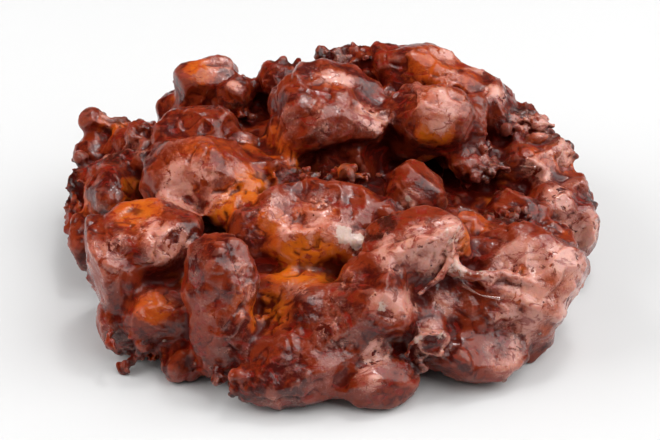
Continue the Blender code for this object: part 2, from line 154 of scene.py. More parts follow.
SIDE_LUMPS = (
    Lump("ear_tip", (-63, 30, 26.5), (3.6, 3.6, 3.6), (0, 0, 0), 2.2),
    Lump("ear", (-58, 31, 22), (6.5, 5.5, 5.5), (0, 14, -10), 2.4),
    Lump("ear_bulge", (-62.5, 25, 19.5), (5, 6, 5.5), (0, 0, 0), 2.3),
    Lump("ear_root", (-52, 25, 20), (9, 9, 8), (0, -10, 0), 2.6),
    Lump("left_strip", (-61.5, 13, 15.5), (5, 9, 9.5), (0, -6, 8), 2.8, 0.2),
    Lump("left_pip", (-62.5, 4, 12), (3.6, 4, 5), (0, 0, 0), 2.6, 0.25),
    Lump("left_low", (-60, -4, 10), (5.5, 8, 8.5), (0, -6, -6), 2.8, 0.16),
    Lump("left_wall", (-53, 4, 17), (8, 14, 12), (0, -8, 0), 3.0, 0.16),
    Lump("left_ridge", (-54, 8, 23), (3.6, 7, 5.5), (0, 0, -24), 2.6, 0.2),
    Lump("left_crag", (-48, 17, 26), (4.5, 4.5, 7.5), (0, 0, 25), 2.8, 0.3),
    Lump("left_crag_low", (-46, 8, 25), (5, 5, 6), (0, 0, 0), 2.8, 0.3),
    Lump("egg", (58, -4, 18.5), (4.6, 4.6, 6.2), (0, -6, 0), 2.1, 0.04),
    Lump("egg_root", (55, -5, 13), (6, 6, 7), (0, 0, 0), 2.5),
    Lump("right_bulge", (63, -2.5, 14), (4.8, 6.5, 8), (0, -6, 0), 2.4),
    Lump("right_wall", (56, 5, 13), (9, 14, 12), (0, 10, 0), 3.0, 0.16),
    Lump("pip", (66, 8, 16), (1.8, 1.8, 2.1), (0, 0, 0), 2.0, 0.04),
    Lump("pip_stem", (64, 9, 13.5), (2.2, 2.6, 3), (0, 0, 0), 2.2),
)

BACK_LUMPS = (
    Lump("rear_left_block", (-35.5, 44, 18), (13, 11, 13.5), (0, -10, 30), 3.0),
    Lump("rear_left_upper", (-22, 47, 24), (10, 9, 9), (-8, 0, 10), 2.8),
    Lump("rear_middle_block", (-7, 49, 18), (15, 10, 15), (-10, 0, 5), 2.8),
    Lump("rear_right_upper", (12, 46, 28), (11, 9, 11), (-12, 6, -6), 2.7),
    Lump("rear_right_block", (22, 48, 19), (14, 11, 15), (-8, 5, -12), 3.0),
    Lump("rear_right_corner", (43, 38, 16), (13, 11, 13.5), (0, 10, -35), 2.8),
    Lump("rear_right_top", (37, 40, 24.5), (10, 9, 8), (-10, 18, -20), 2.7),
    Lump("rear_finger", (3, 54, 12), (8, 6.5, 12), (8, 15, 0), 2.4),
    Lump("rear_low", (-26, 51, 10), (12, 8, 9), (0, 10, 25), 2.6),
    Lump("rear_corner_low", (50, 30, 10), (9, 10, 9), (0, 0, -30), 2.7),
)

UNDER_LUMPS = (
    Lump("under_middle", (0, 0, 9), (34, 30, 10), (0, 0, 15), 2.4, 0.05),
    Lump("under_left", (-34, 4, 9), (19, 24, 10), (0, 0, 10), 2.6, 0.08),
    Lump("under_right", (34, 2, 9), (20, 26, 10), (0, 0, -12), 2.6, 0.08),
    Lump("under_front", (4, -34, 8), (26, 15, 8.5), (0, 0, 4), 2.6, 0.08),
    Lump("under_back", (0, 34, 9), (30, 17, 10), (0, 0, -6), 2.6, 0.08),
    Lump("under_right_front", (34, -26, 8), (16, 14, 8.5), (0, 0, -20), 2.6, 0.08),
    Lump("under_left_back", (-34, 30, 9.5), (20, 17, 10), (0, 0, -20), 2.6, 0.08),
    Lump("under_left_front", (-26, -26, 9), (20, 18, 9.5), (0, 0, 25), 2.6, 0.08),
    Lump("core", (0, 6, 15), (44, 34, 9), (0, 0, 0), 3.0, 0.1),
    Lump("core_back", (-6, 32, 19), (34, 12, 9), (0, 0, 0), 2.8, 0.12),
)


CRAG_PATCHES = (
    Crags("crag_block", (5, 38, 40), (9, 5, 4), 14, 2.2),
    Crags("rear_middle", (-12, 40, 35), (5, 4, 4), 8, 1.8),
    Crags("knob_gap", (-24, 33, 28), (3, 3, 3), 4, 1.6),
    Crags("left_spikes", (-48, 14, 29), (3.5, 5, 4), 9, 2.0),
    Crags("left_middle", (-54, 8, 24), (4, 6, 4), 8, 2.0),
    Crags("left_strip", (-65, 12, 17), (2, 8, 6), 12, 1.8),
    Crags("left_low", (-64, -1, 11), (2, 6, 4), 7, 1.8),
    Crags("ear", (-59, 32, 23), (5, 4, 4), 6, 1.8),
    Crags("right_edge", (58, 17, 24), (5, 6, 4), 10, 2.0),
    Crags("right_rim", (63, 2, 15), (3, 6, 6), 10, 1.8),
    Crags("shoulder", (50, 21, 30), (7, 6, 3), 10, 2.0),
    Crags("centre", (0, -7, 29), (14, 4, 4), 14, 2.0),
    Crags("dome_foot", (38, 8, 26), (5, 6, 4), 10, 1.8),
    Crags("inner", (43, -17, 22), (6, 5, 4), 8, 2.2),
    Crags("wing_crest", (13, -33, 31), (7, 3, 3), 5, 1.8),
    Crags("front_right", (17, -49, 10), (8, 4, 5), 8, 1.8),
    Crags("right_foot", (35, -45, 5), (9, 4, 4), 7, 2.0),
    Crags("front_rim", (-14, -56, 6), (12, 3, 4), 8, 1.8),
    Crags("left_foot", (-45, -42, 6), (6, 5, 5), 8, 1.8),
    Crags("rear_left", (-32, 52, 22), (12, 5, 9), 16, 2.4),
    Crags("rear", (8, 57, 20), (18, 3, 9), 20, 2.4),
    Crags("rear_right", (42, 47, 20), (10, 6, 8), 14, 2.4),
)

# A place on the crust, in millimetres of the frame, how far it reaches, and how strong it is
Spot = namedtuple("Spot", "name at radius share", defaults=(1.0,))

# How far from a spot its share starts to fade and is gone, of its radius, and the same for crags
SPOT_EDGE = (0.35, 1.15)
PATCH_EDGE = (0.5, 1.2)

# Crust that fried less and shows amber: sheltered faces, and the smooth backs of some lumps
AMBER_SPOTS = (
    Spot("lobe_nose", (-18, -12, 31), 8),
    Spot("lobe_rim", (-22, 4, 33), 6, 0.5),
    Spot("lobe_under", (-25, -15, 27), 7),
    Spot("left_block_top", (-45, -24, 31), 8, 0.8),
    Spot("boulder_left", (-14, 4, 33), 8, 0.5),
    Spot("boulder_foot", (-7, 1, 30), 7, 0.8),
    Spot("boulder_low_right", (4, -5, 32), 6, 0.8),
    Spot("dome_low", (26, 4, 37), 6),
    Spot("right_inner", (31, -35, 31), 5),
    Spot("right_inner_wall", (34, -20, 26), 7, 0.45),
    Spot("slot", (43, -39, 24.5), 2.5, 0.9),
    Spot("shoulder", (60, 11, 26), 6, 0.7),
    Spot("front_face", (-5, -33, 22), 13),
    Spot("front_left_top", (-13, -27, 31), 6, 0.7),
    Spot("front_fold", (-13, -44, 17), 8, 0.8),
    Spot("finger_side", (-17.5, -48, 18), 4, 0.9),
    Spot("foot_top", (-40, -43.5, 18), 6, 0.7),
    Spot("rear_knob", (-34, 36, 39), 6, 0.8),
    Spot("ear", (-57, 28, 26), 6, 0.7),
    Spot("ridge", (27, 29, 43), 9, 0.6),
    Spot("ridge_whole", (30, 30, 42), 15, 0.42),
    Spot("dome_whole", (27, 8, 42), 11, 0.4),
    Spot("boulder_whole", (0, 13, 44), 10, 0.34),
    Spot("lobe_whole", (-31, -7, 33), 13, 0.4),
    Spot("left_block_whole", (-42, -28, 26), 11, 0.4),
    Spot("shoulder_whole", (54, 12, 30), 10, 0.38),
    Spot("right_boulder_whole", (48, -40, 18), 15, 0.38),
    Spot("front_boulder_whole", (-4, -26, 31), 10, 0.4),
    Spot("finger_edge", (-19, -50, 24), 6, 0.4),
    Spot("rear_slope", (-10, 52, 20), 9, 0.7),
    Spot("left_slope", (-58, 2, 18), 8, 0.7),
    Spot("right_slope", (60, 30, 12), 8, 0.7),
)

# Glaze that set thick enough to be milky, in patches where it ran together, painted paler as the
# sheen of the soft boxes on it and, low on the front, as the reflection of the floor
GLAZE_AND_SHEEN_SPOTS = (
    Spot("lobe_ring", (-34, -13, 31), 10, 1.3),
    Spot("lobe_right", (-22, -10.5, 33.5), 4.5, 0.9),
    Spot("front_boulder", (-2.5, -27.5, 29.5), 6),
    Spot("front_boulder_right", (5, -30, 28.5), 5.5),
    Spot("front_boulder_left", (-9.5, -28.5, 29), 4, 0.9),
    Spot("dome", (27, 7, 44), 8),
    Spot("dome_low", (27.5, 4, 40), 5),
    Spot("small_dome", (26, -10, 32), 3.5, 0.5),
    Spot("left_block", (-37.5, -33, 27.5), 7.5),
    Spot("left_block_tail", (-42, -29.5, 31), 4.5),
    Spot("boulder_face", (10.5, 7.5, 40.5), 6.5, 1.2),
    Spot("boulder_crest_left", (0, 14.5, 47), 3.5),
    Spot("boulder_crest", (4, 14.5, 46), 3.5),
    Spot("ridge", (30, 34, 44), 6, 0.9),
    Spot("ridge_middle", (38, 33.5, 41), 5),
    Spot("ridge_end", (43, 23, 38.5), 5),
    Spot("rear_knob", (-29, 38.5, 38.5), 6, 0.6),
    Spot("rear_knob_front", (-25, 32, 36), 3),
    Spot("column", (-53, -37, 26), 9, 0.58),
    Spot("column_low", (-55, -37, 15), 9, 0.4),
    Spot("right_sweep", (10.5, -54, 12.5), 5),
    Spot("right_sweep_low", (8.5, -59, 9.5), 4.5),
    Spot("crumb_ridge", (19, -13.5, 28), 3.5),
    Spot("wing", (14.5, -41.5, 32), 7),
    Spot("wing_top", (20, -40.5, 34), 7),
    Spot("wing_right", (24, -41, 29), 6.5),
    Spot("wing_low", (13, -51, 24), 6),
    Spot("wing_low_right", (18, -48, 23), 5.5),
    Spot("wing_corner", (28, -38, 36), 6),
    Spot("wing_edge", (27.5, -40, 30), 4.5),
    Spot("nub", (25, -42, 17), 5.5, 0.9),
    Spot("shoulder", (52.5, 18.5, 33), 8),
    Spot("shoulder_edge", (58.5, 11, 28), 6.5),
    Spot("shoulder_face", (52, 5, 26), 6, 0.9),
    Spot("egg", (57, -5, 24), 7, 0.7),
    Spot("egg_low", (60, -8, 20), 7, 0.8),
    Spot("right_rim", (64, -8, 15), 8),
    Spot("right_boulder", (44, -37, 26), 9),
    Spot("right_boulder_back", (54, -37, 25), 9),
    Spot("right_boulder_face", (46, -43, 17), 12),
    Spot("right_boulder_side", (57, -39, 14), 12),
    Spot("right_boulder_low", (40, -50, 8.5), 7, 0.85),
    Spot("finger_edge", (-18, -48, 25.5), 4.5, 0.6),
    Spot("finger_shoulder", (-20, -46.5, 30.5), 4, 0.6),
    Spot("finger_low", (-22, -54, 13), 7, 0.4),
    Spot("finger_face", (-26, -51.5, 23), 6, 0.4),
    Spot("finger_left", (-31, -48, 28), 4, 0.45),
    Spot("front_sweep", (-4, -58, 12), 10, 0.36),
    Spot("front_sweep_right", (2, -54, 18), 10, 0.46),
    Spot("boulder_left", (-11, 3, 41), 6, 0.5),
    Spot("film", (22.5, -51.5, 14), 6.5),
    Spot("string", (29, -41, 26), 4),
    Spot("string_end", (36, -41, 25), 4),
    Spot("ear", (-58.5, 29.5, 27.5), 3.5),
)

# Places inside the milky patches where the glaze has run off again and bares dark red crust, and where
# the painted sheen stops, as in shaded hollows
BARE_SPOTS = (
    Spot("lobe_ring", (-31.5, -13.5, 31), 2.2),
    Spot("lobe_ring_notch", (-34, -14, 28.3), 1.6),
    Spot("dome", (25, 7.5, 45), 2.4),
    Spot("left_block", (-36.2, -31.5, 29.5), 2),
    Spot("right_boulder_low", (50, -44, 11), 3.5, 0.9),
    Spot("wing_groove", (11.5, -47.5, 27.5), 3, 0.9),
    Spot("wing_groove_right", (16, -46.5, 26.5), 2.4, 0.9),
    Spot("film_window", (23, -52.5, 13.8), 3.1),
    Spot("film_small_window", (18.3, -52, 13.5), 1.7),
    Spot("shoulder", (56, 13, 28), 3, 0.8),
    Spot("lobe_nose", (-18.5, -11, 31), 6, 0.8),
    Spot("lobe_rim", (-22.5, 6, 33), 5, 0.9),
    Spot("boulder_foot", (-13, 1, 32.5), 5, 0.9),
    Spot("right_inner", (32.5, -20.5, 28), 6, 0.8),
    Spot("rear_knob", (-30.5, 33.5, 33.5), 4, 0.9),
    Spot("wing_hollow", (6.8, -41, 28.7), 3.5, 0.9),
)

# Glaze that pooled and set white, with painted highlights of the key box on some of it
SUGAR_AND_HIGHLIGHT_SPOTS = (
    Spot("front_boulder_corner", (3.4, -29.3, 28.4), 3.2, 0.9),
    Spot("front_boulder_edge", (6.4, -30.3, 27.6), 3.2, 0.9),
    Spot("crumb_ridge", (18.5, -14, 28.5), 2, 0.6),
    Spot("wing_corner", (28, -38.5, 34), 5, 0.42),
    Spot("string", (28.5, -41, 26), 5, 0.46),
    Spot("string_end", (34, -41.5, 25), 4, 0.36),
    Spot("wing_lip", (12, -51.5, 23.5), 2.4, 0.6),
    Spot("wing_bead", (21, -43, 30.5), 1.6, 0.7),
    Spot("film", (19.5, -52.5, 15), 2.2, 0.55),
    Spot("film_top", (25, -51.5, 15.8), 2.2, 0.5),
)

# A strand of set glaze on the crust: its path in millimetres, and its radius along it
Strand = namedtuple("Strand", "name path radii")
STRANDS = (
    Strand("string", ((26.3, -38.5, 27.5), (28.3, -40.8, 26.2), (32, -41.6, 25.2), (36, -41.2, 24.8),
                      (40, -39.5, 24)), (2.6, 2.0, 1.15, 1.05, 1.5)),
    Strand("slot_lip", ((39.5, -39.8, 24.2), (44, -41.2, 23.6), (49, -42, 22.4)), (1.2, 0.8, 0.5)),
    Strand("string_web", ((33, -41, 24.6), (36, -42, 22.6), (40, -43, 20.8)), (1.0, 1.0, 0.7)),
    Strand("film_rim", ((19.3, -52, 15.2), (22.5, -52.3, 16.4), (26, -51.3, 15.4), (26.4, -51, 12.8),
                        (23.4, -52.5, 11), (20.3, -52.7, 12.2), (19.3, -52, 15.2)),
           (0.6, 0.5, 0.6, 0.5, 0.6, 0.5, 0.6)),
    Strand("film_window", ((21.4, -50.8, 13.8), (24.9, -50.4, 13.8)), (2.3, 2.3)),
    Strand("lobe_under", ((-26, -15, 26), (-19.5, -14.5, 26.5)), (4.6, 4.2)),
    Strand("nub", ((24, -41.5, 18), (27, -42, 16)), (3.8, 3.6)),
    Strand("film_leg", ((19.4, -52.3, 15), (17.6, -53.2, 13.4), (17.2, -53.8, 11.6)), (0.7, 0.5, 0.7)),
    Strand("wing_rim", ((27.3, -39.5, 33), (27, -41.3, 29.5), (24.5, -43.5, 26), (20, -46.5, 23.5)),
           (0.7, 0.8, 0.8, 0.6)),
)
# Drops from one point of a strand's path to the next
DROP_STEPS = 9

# Hair-thin threads of glaze between two crags
THREADS = (
    Strand("thin_string", ((30, -41, 22.4), (34, -43.5, 21.2), (38.5, -44.2, 20.6)), (0.5, 0.16, 0.4)),
    Strand("rear_string", ((45, 8, 27), (48, 5.5, 26.6), (51.5, 4.5, 26.6)), (0.5, 0.18, 0.5)),
)

# Mesh of the heap: spacing of the facets along a lump, and its least and most facets on a side
HEAP_FACET = 1.0 * MM
FEWEST_FACETS, MOST_FACETS = 4, 40

# Crumbs for each crag, how far they scatter, their half size in millimetres and their facets
CRUMBS_PER_CRAG = 5
CRUMB_SCATTER = 0.55
CRUMB_HALF = (0.6, 1.3)
CRUMB_FACETS = 2
CRISP_MARGIN = 3.0

# Flat faces where the dough of a lump was torn: how many, how far out, and how flat
TORN_FACES = 7
TORN_REACH = (0.8, 0.98)
TORN_FLATNESS = 0.85

# Small flat facets of a lump's tight skin, and the lumps in millimetres that are too small for them
TIGHT_FACETS = 24
TIGHT_REACH = (0.84, 0.96)
TIGHT_FLATNESS = 0.9
SMALL_LUMP = 3.4

# Cells along a side of a noise's grid before it repeats, a power of two
GRID_CELLS = 256

# How far the patterns of the relief are bent, and over what spacing, in millimetres
BEND_SPACING, BEND_SEED, BEND_REACH = 8.0, 20, 3.0

# Lines of the relief: the seed of each and its width, with the spacing first where it is fixed
WRINKLE_LINES = (1, 0.055)
CREASE_LINES = (3, 0.06)
FOLD_LINES = (4.2, 11, 0.08)

# Soft patches that hold each kind of relief or colour: spacing in millimetres, seed, and the two
# values of the noise between which they fade in
CRISP_PATCHES = (6.0, 30, -0.3, 0.2)
CRISP_ELSEWHERE = (11.0, 31, 0.22, 0.4)
WRINKLE_PATCHES = (14.0, 2, -0.15, 0.2)
CREASE_PATCHES = (12.0, 4, -0.1, 0.25)
FOLD_PATCHES = (9.0, 12, -0.3, 0.1)
BLISTER_PATCHES = (7.0, 8, 0.0, 0.25)
AMBER_PATCHES = (4.0, 41, -0.75, -0.1)
CHAR_PATCHES = (5.0, 42, -0.35, 0.15)
WHOLE_GLAZE_PATCHES = (4.0, 44, -0.3, 0.0)

# Spacings in millimetres of bumps, blisters, crisp roughness and its grain, and a blister's radius as
# a share of its spacing
BUMP_SPACING = 3.4
BLISTER_SPACING, BLISTER_RADIUS = 2.6, 0.42
ROUGH_SPACING, ROUGH_GRAIN = 2.1, 1.0

# Spacing in millimetres of the amber and the milky patches that no spot sets
FREE_PATCH_SPACING = 9.0

# What the crust's shape says of its colour and of the painted shade in its valleys: turns of evening
# out that find fine and broad hollows, the heights and depths in millimetres from where to where a
# point counts as a crest or a valley, and how little open a sheltered point is
FINE_TURNS, BROAD_TURNS = 6, 40
CREST_HEIGHTS = (0.05, 0.35)
FINE_DEPTHS, BROAD_DEPTHS = (0.02, 0.18), (0.15, 0.9)
SHELTER_OPENNESS = (0.25, 0.75)

# The less open the crust is, the deeper the painted shade on it
# Rays that feel how open the crust is around a point: how many, how far they reach, how many
# millimetres off the skin they start, and how steep to the skin they are at least
FEELERS = 20
FEELER_REACH = 14 * MM
FEELER_START = 0.1
FEELER_SLANT = 0.1

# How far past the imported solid's box the crust may reach
BOX_MARGIN = 0.4 * MM

# Threads of glaze: points along each, and round each, and a direction that none of them takes
THREAD_STEPS, THREAD_SIDES = 12, 12
THREAD_ASKEW = (0.1, 0.2, 1.0)

# Small beads of glaze along the lower edge: how many, their radius and how high they reach
BEAD_COUNT = 46
BEAD_RADIUS = (0.25, 0.8)
BEAD_LOW, BEAD_HIGH = 1.5, 12.0
BEAD_FLATNESS = 0.6
BEAD_STRETCH = (0.7, 1.3)
BEAD_FACETS = 4
# Beads hang on no place that looks up more than this
BEAD_FACING = 0.5

# The studio: floor, camera and lights
FLOOR_SIZE = 8.0
FLOOR_GAP = 0.05 * MM
LENS_MM, SENSOR_MM = 85, 36
CAMERA_ELEVATION = 32
CAMERA_DISTANCE = 0.394
CAMERA_AIM = (0, 0, 0.014)
LIGHT_AIM = (0, 0, 0.02)
ROOM_LIGHT = 0.02
GLOSSY_BOXES = ("key_box", "top_box")
# Each soft box: its direction around (0 is the right, 90 the back) and up, distance, side and power
SOFT_BOXES = (
    ("key_box", 355, 53, 0.95, 1.4, 19.8),
    ("top_box", 50, 72, 1.1, 0.16, 2.0),
    ("back_box", 125, 35, 1.1, 0.8, 2.2),
    ("left_box", 182, 30, 1.0, 0.8, 10.0),
    ("front_box", 245, 42, 1.1, 0.8, 1.2),
)


def scattered(name, patch, dice, scatter, size, sizes, dents):
    """A small lump of batter at a random place in its patch, its half sizes from size times sizes."""
    off = [max(-1, min(1, dice.gauss(0, scatter))) for axis in range(3)]
    at = [c + s * o for c, s, o in zip(patch.at, patch.spread, off)]
    half = [size * dice.uniform(*sizes) for axis in range(3)]
    turn = [dice.uniform(-180, 180) for axis in range(3)]
    return Lump(name, at, half, turn, dice.uniform(*CRAG_BOXY), dents)


def crags():
    """Every small crag of batter, at its seeded place in its patch."""
    dice = random.Random(SEED)
    return tuple(
        scattered(f"crag_{patch.name}_{number}", patch, dice, CRAG_SCATTER, patch.radius, CRAG_SIZES,
                  CRAG_DENTS)
        for patch in CRAG_PATCHES for number in range(patch.count))


def crumbs():
    """Crisp crumbs of batter among the crags, too small for the solid."""
    dice = random.Random(SEED + 1)
    return tuple(
        scattered("crumb", patch, dice, CRUMB_SCATTER, 1, CRUMB_HALF, 0)
        for patch in CRAG_PATCHES for number in range(patch.count * CRUMBS_PER_CRAG))


def even_curve(knots, steps):
    """Points of a smooth curve through the knots, with steps points from one to the next."""
    knots = np.array(knots, dtype=float)
    padded = np.concatenate([[2 * knots[0] - knots[1]], knots, [2 * knots[-1] - knots[-2]]])
    points = []
    for before, here, there, after in zip(padded, padded[1:], padded[2:], padded[3:]):
        for share in np.arange(steps) / steps:
            points.append(0.5 * (2 * here + (there - before) * share
                                 + (2 * before - 5 * here + 4 * there - after) * share ** 2
                                 + (3 * here - before - 3 * there + after) * share ** 3))
    points.append(knots[-1])
    return np.array(points)


def strands():
    """The strands of glaze on the crust, each a row of drops that run into each other."""
    small = []
    for strand in STRANDS:
        knots = [(*at, radius) for at, radius in zip(strand.path, strand.radii)]
        for x, y, z, radius in even_curve(knots, DROP_STEPS):
            small.append(Lump("drop", (x, y, z), (radius,) * 3, (0, 0, 0), 2, 0))
    return tuple(small)


def lumps():
    """Every dough lump, crag and crumb of the round, and the strands of glaze."""
    dough = UNDER_LUMPS + TOP_LUMPS + FRONT_LUMPS + SIDE_LUMPS + BACK_LUMPS
    return dough + crags() + crumbs() + strands()


def smoothstep(value, low, high):
    """0 below low, 1 above high and an even slope between."""
    share = np.clip((value - low) / (high - low), 0, 1)
    return share * share * (3 - 2 * share)


def lots(order, cells):
    """The number that each cell of a noise's grid draws from the shuffled order."""
    wrap = GRID_CELLS - 1
    x, y, z = cells.T & wrap
    return order[(order[(order[x] + y) & wrap] + z) & wrap]


def gradient_noise(points, seed):
    """Smooth noise of about -0.7 to 0.7 with a period of 1, for an array of points."""
    dice = np.random.default_rng(seed)
    order = dice.permutation(GRID_CELLS)
    slopes = dice.normal(size=(GRID_CELLS, 3))
    slopes /= np.linalg.norm(slopes, axis=1, keepdims=True)
    cell = np.floor(points).astype(int)
    inside = points - cell
    fade = inside ** 3 * (inside * (inside * 6 - 15) + 10)
    total = np.zeros(len(points))
    for corner in product((0, 1), repeat=3):
        slope = slopes[lots(order, cell + corner)]
        weight = np.prod(np.where(corner, fade, 1 - fade), axis=1)
        total += weight * ((inside - corner) * slope).sum(axis=1)
    return total


def cell_distance(points, seed):
    """Distance to the nearest of the points scattered one to each unit cell."""
    dice = np.random.default_rng(seed)
    order = dice.permutation(GRID_CELLS)
    places = dice.random((GRID_CELLS, 3))
    cell = np.floor(points).astype(int)
    nearest = np.full(len(points), np.inf)
    for step in product((-1, 0, 1), repeat=3):
        near = cell + step
        place = near + places[lots(order, near)]
        nearest = np.minimum(nearest, ((points - place) ** 2).sum(axis=1))
    return np.sqrt(nearest)


def boxy(direction, power):
    """The directions as points on a unit block whose edges are rounder the nearer power is to 2."""
    reach = (np.abs(direction) ** power).sum(axis=1, keepdims=True) ** (1 / power)
    return direction / reach


def unevenness(point, own, dent_depth):
    """How far the skin of a lump stands out at the point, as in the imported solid."""
    dent = noise.noise(point / DENT_SPACING + own) * dent_depth * 2
    fold = FOLD_CREST - abs(noise.noise(point / FOLD_SPACING + own * 2)) * 2
    grain = noise.noise(point / GRAIN_SPACING - own)
    share = min(1, dent_depth / MM)
    return dent + (fold * FOLD_DEPTH + grain * GRAIN_DEPTH) * share


def block_sphere(facets):
    """Corners and faces of a unit sphere made of a cube with facets x facets faces on a side."""
    shape = bmesh.new()
    bmesh.ops.create_cube(shape, size=2)
    if facets > 1:
        bmesh.ops.subdivide_edges(shape, edges=shape.edges[:], cuts=facets - 1, use_grid_fill=True)
    shape.verts.index_update()
    corners = np.tan(np.array([vertex.co for vertex in shape.verts]) * math.pi / 4)
    corners /= np.linalg.norm(corners, axis=1, keepdims=True)
    faces = np.array([[vertex.index for vertex in face.verts] for face in shape.faces])
    shape.free()
    return corners, faces


def torn(points, name):
    """The points of a unit lump with flat faces where its dough was torn, picked by its name."""
    dice = random.Random(name)
    for number in range(TORN_FACES):
        out = np.array([dice.gauss(0, 1) for axis in range(3)])
        out /= np.linalg.norm(out)
        beyond = points @ out - dice.uniform(*TORN_REACH)
        points = points - out * np.maximum(beyond, 0)[:, None] * TORN_FLATNESS
    return points


def chipped(points, name):
    """The points of a lump with small flat facets, where its skin is drawn tight."""
    dice = random.Random(name + "_facets")
    for number in range(TIGHT_FACETS):
        out = np.array([dice.gauss(0, 1) for axis in range(3)])
        out /= np.linalg.norm(out)
        along = points @ out
        beyond = along - along.max() * dice.uniform(*TIGHT_REACH)
        points = points - out * np.maximum(beyond, 0)[:, None] * TIGHT_FLATNESS
    return points


def lump_skin(lump, corners, swell):
    """Where the corners of a unit sphere lie on the lump's skin, in metres, swell further out."""
    half = np.array(lump.half) * MM
    points = torn(boxy(corners, lump.boxy), lump.name) * half
    if min(lump.half) > SMALL_LUMP:
        points = chipped(points, lump.name)
    if lump.dents:
        own = Vector(lump.at) * OWN_PATTERN
        depth = lump.dents * min(half)
        reach = [unevenness(Vector(point), own, depth) for point in points]
        points = points + corners * np.array(reach)[:, None]
    points = points + corners * swell
    turn = np.array(Euler([math.radians(a) for a in lump.turn]).to_matrix())
    return points @ turn.T + np.array(lump.at) * MM


def heap_of_lumps(some, facet, swell=0.0):
    """The corners and faces of the lumps as one mesh, each still its own closed shell."""
    spheres = {}
    corners, faces, count = [], [], 0
    for lump in some:
        facets = round(2 * max(lump.half) * MM / facet)
        facets = min(max(facets, FEWEST_FACETS), MOST_FACETS)
        if lump.name == "crumb":
            facets = CRUMB_FACETS
        if facets not in spheres:
            spheres[facets] = block_sphere(facets)
        sphere, sphere_faces = spheres[facets]
        corners.append(lump_skin(lump, sphere, swell))
        faces.append(sphere_faces + count)
        count += len(sphere)
    return np.concatenate(corners), np.concatenate(faces)


def united(thing, corners, faces, cell):
    """Makes the object one even skin around the corners and faces."""
    thing.data = bpy.data.meshes.new(thing.name)
    thing.data.from_pydata(corners.tolist(), [], faces.tolist())
    grid = thing.modifiers.new("unite", "REMESH")
    grid.mode = "VOXEL"
    grid.voxel_size = cell
    apply_modifiers(thing)
    keep_outer_shell(thing)
    return Skin(thing.data)


def quads_of(mesh):
    """The corners of each face of a mesh of quads."""
    flat = np.empty(len(mesh.polygons) * 4, dtype=int)
    mesh.polygons.foreach_get("vertices", flat)
    return flat.reshape(-1, 4)


def apply_modifiers(thing):
    """Makes what the object's modifiers show its own mesh."""
    view = bpy.context.evaluated_depsgraph_get()
    shown = bpy.data.meshes.new_from_object(thing.evaluated_get(view))
    thing.modifiers.clear()
    thing.data = shown


def keep_outer_shell(thing):
    """Drops loose scraps and sealed hollows: only the largest shell stays."""
    shape = bmesh.new()
    shape.from_mesh(thing.data)
    unseen = set(shape.verts)
    shells = []
    while unseen:
        front = [unseen.pop()]
        shell = list(front)
        while front:
            for edge in front.pop().link_edges:
                for vertex in edge.verts:
                    if vertex in unseen:
                        unseen.remove(vertex)
                        front.append(vertex)
                        shell.append(vertex)
        shells.append(shell)
    shells.sort(key=len)
    scraps = [vertex for shell in shells[:-1] for vertex in shell]
    bmesh.ops.delete(shape, geom=scraps, context="VERTS")
    shape.to_mesh(thing.data)
    shape.free()


class Skin:
    """The points, normals and neighbours of a mesh as arrays, in metres."""

    def __init__(self, mesh):
        self.mesh = mesh
        count = len(mesh.vertices)
        flat = np.empty(count * 3)
        mesh.vertices.foreach_get("co", flat)
        self.points = flat.reshape(-1, 3).copy()
        edges = np.empty(len(mesh.edges) * 2, dtype=int)
        mesh.edges.foreach_get("vertices", edges)
        self.ends = edges.reshape(-1, 2)
        self.degree = np.bincount(edges, minlength=count)[:, None]

    def normals(self):
        """The outward direction at each point."""
        self.write()
        flat = np.empty(len(self.points) * 3)
        self.mesh.vertex_normals.foreach_get("vector", flat)
        return flat.reshape(-1, 3)

    def spread(self, values):
        """The mean of each point's neighbours' values."""
        first, second = self.ends.T
        total = np.empty_like(values)
        for column in range(values.shape[1]):
            one = values[:, column]
            total[:, column] = np.bincount(first, one[second], len(one))
            total[:, column] += np.bincount(second, one[first], len(one))
        return total / self.degree

    def smooth(self, values, turns, share=0.5):
        """The values evened out over their neighbours, turn by turn."""
        for turn in range(turns):
            values = values + (self.spread(values) - values) * share
        return values

    def write(self):
        """Puts the points back in the mesh."""
        self.mesh.vertices.foreach_set("co", self.points.ravel())
        self.mesh.update()


def fit_to_node(points):
    """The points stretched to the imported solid's box, with what hangs below the floor pressed flat."""
    points[:, 2] = np.maximum(points[:, 2], 0)
    low, high = points.min(axis=0), points.max(axis=0)
    box_low, box_high = np.array(NODE_BOX[0]), np.array(NODE_BOX[1])
    return box_low + (points - low) * (box_high - box_low) / (high - low)


def nearness(points, spots):
    """1 at the spots, falling to 0 at their radius, for points in millimetres."""
    near = np.zeros(len(points))
    for spot in spots:
        away = np.linalg.norm(points - np.array(spot.at), axis=1) / spot.radius
        near = np.maximum(near, spot.share * (1 - smoothstep(away, *SPOT_EDGE)))
    return near


def crag_nearness(points):
    """1 in the patches of crags, falling to 0 outside them, for points in millimetres."""
    near = np.zeros(len(points))
    for patch in CRAG_PATCHES:
        reach = np.array(patch.spread) + CRISP_MARGIN
        away = np.linalg.norm((points - np.array(patch.at)) / reach, axis=1)
        near = np.maximum(near, 1 - smoothstep(away, *PATCH_EDGE))
    return near


def hollowness(skin, normals, turns):
    """How deep each point lies below the skin around it, in millimetres. Crests are negative."""
    even = skin.smooth(skin.points, turns)
    return ((even - skin.points) * normals).sum(axis=1) / MM


def lines(points, spacing, seed, width):
    """1 along thin winding lines, one spacing apart, falling to 0 beside them."""
    return np.exp(-(gradient_noise(points / spacing, seed) / width) ** 2)


def patches(points, spacing, seed, low, high):
    """1 in soft patches, one spacing apart, and 0 between them."""
    return smoothstep(gradient_noise(points / spacing, seed), low, high)


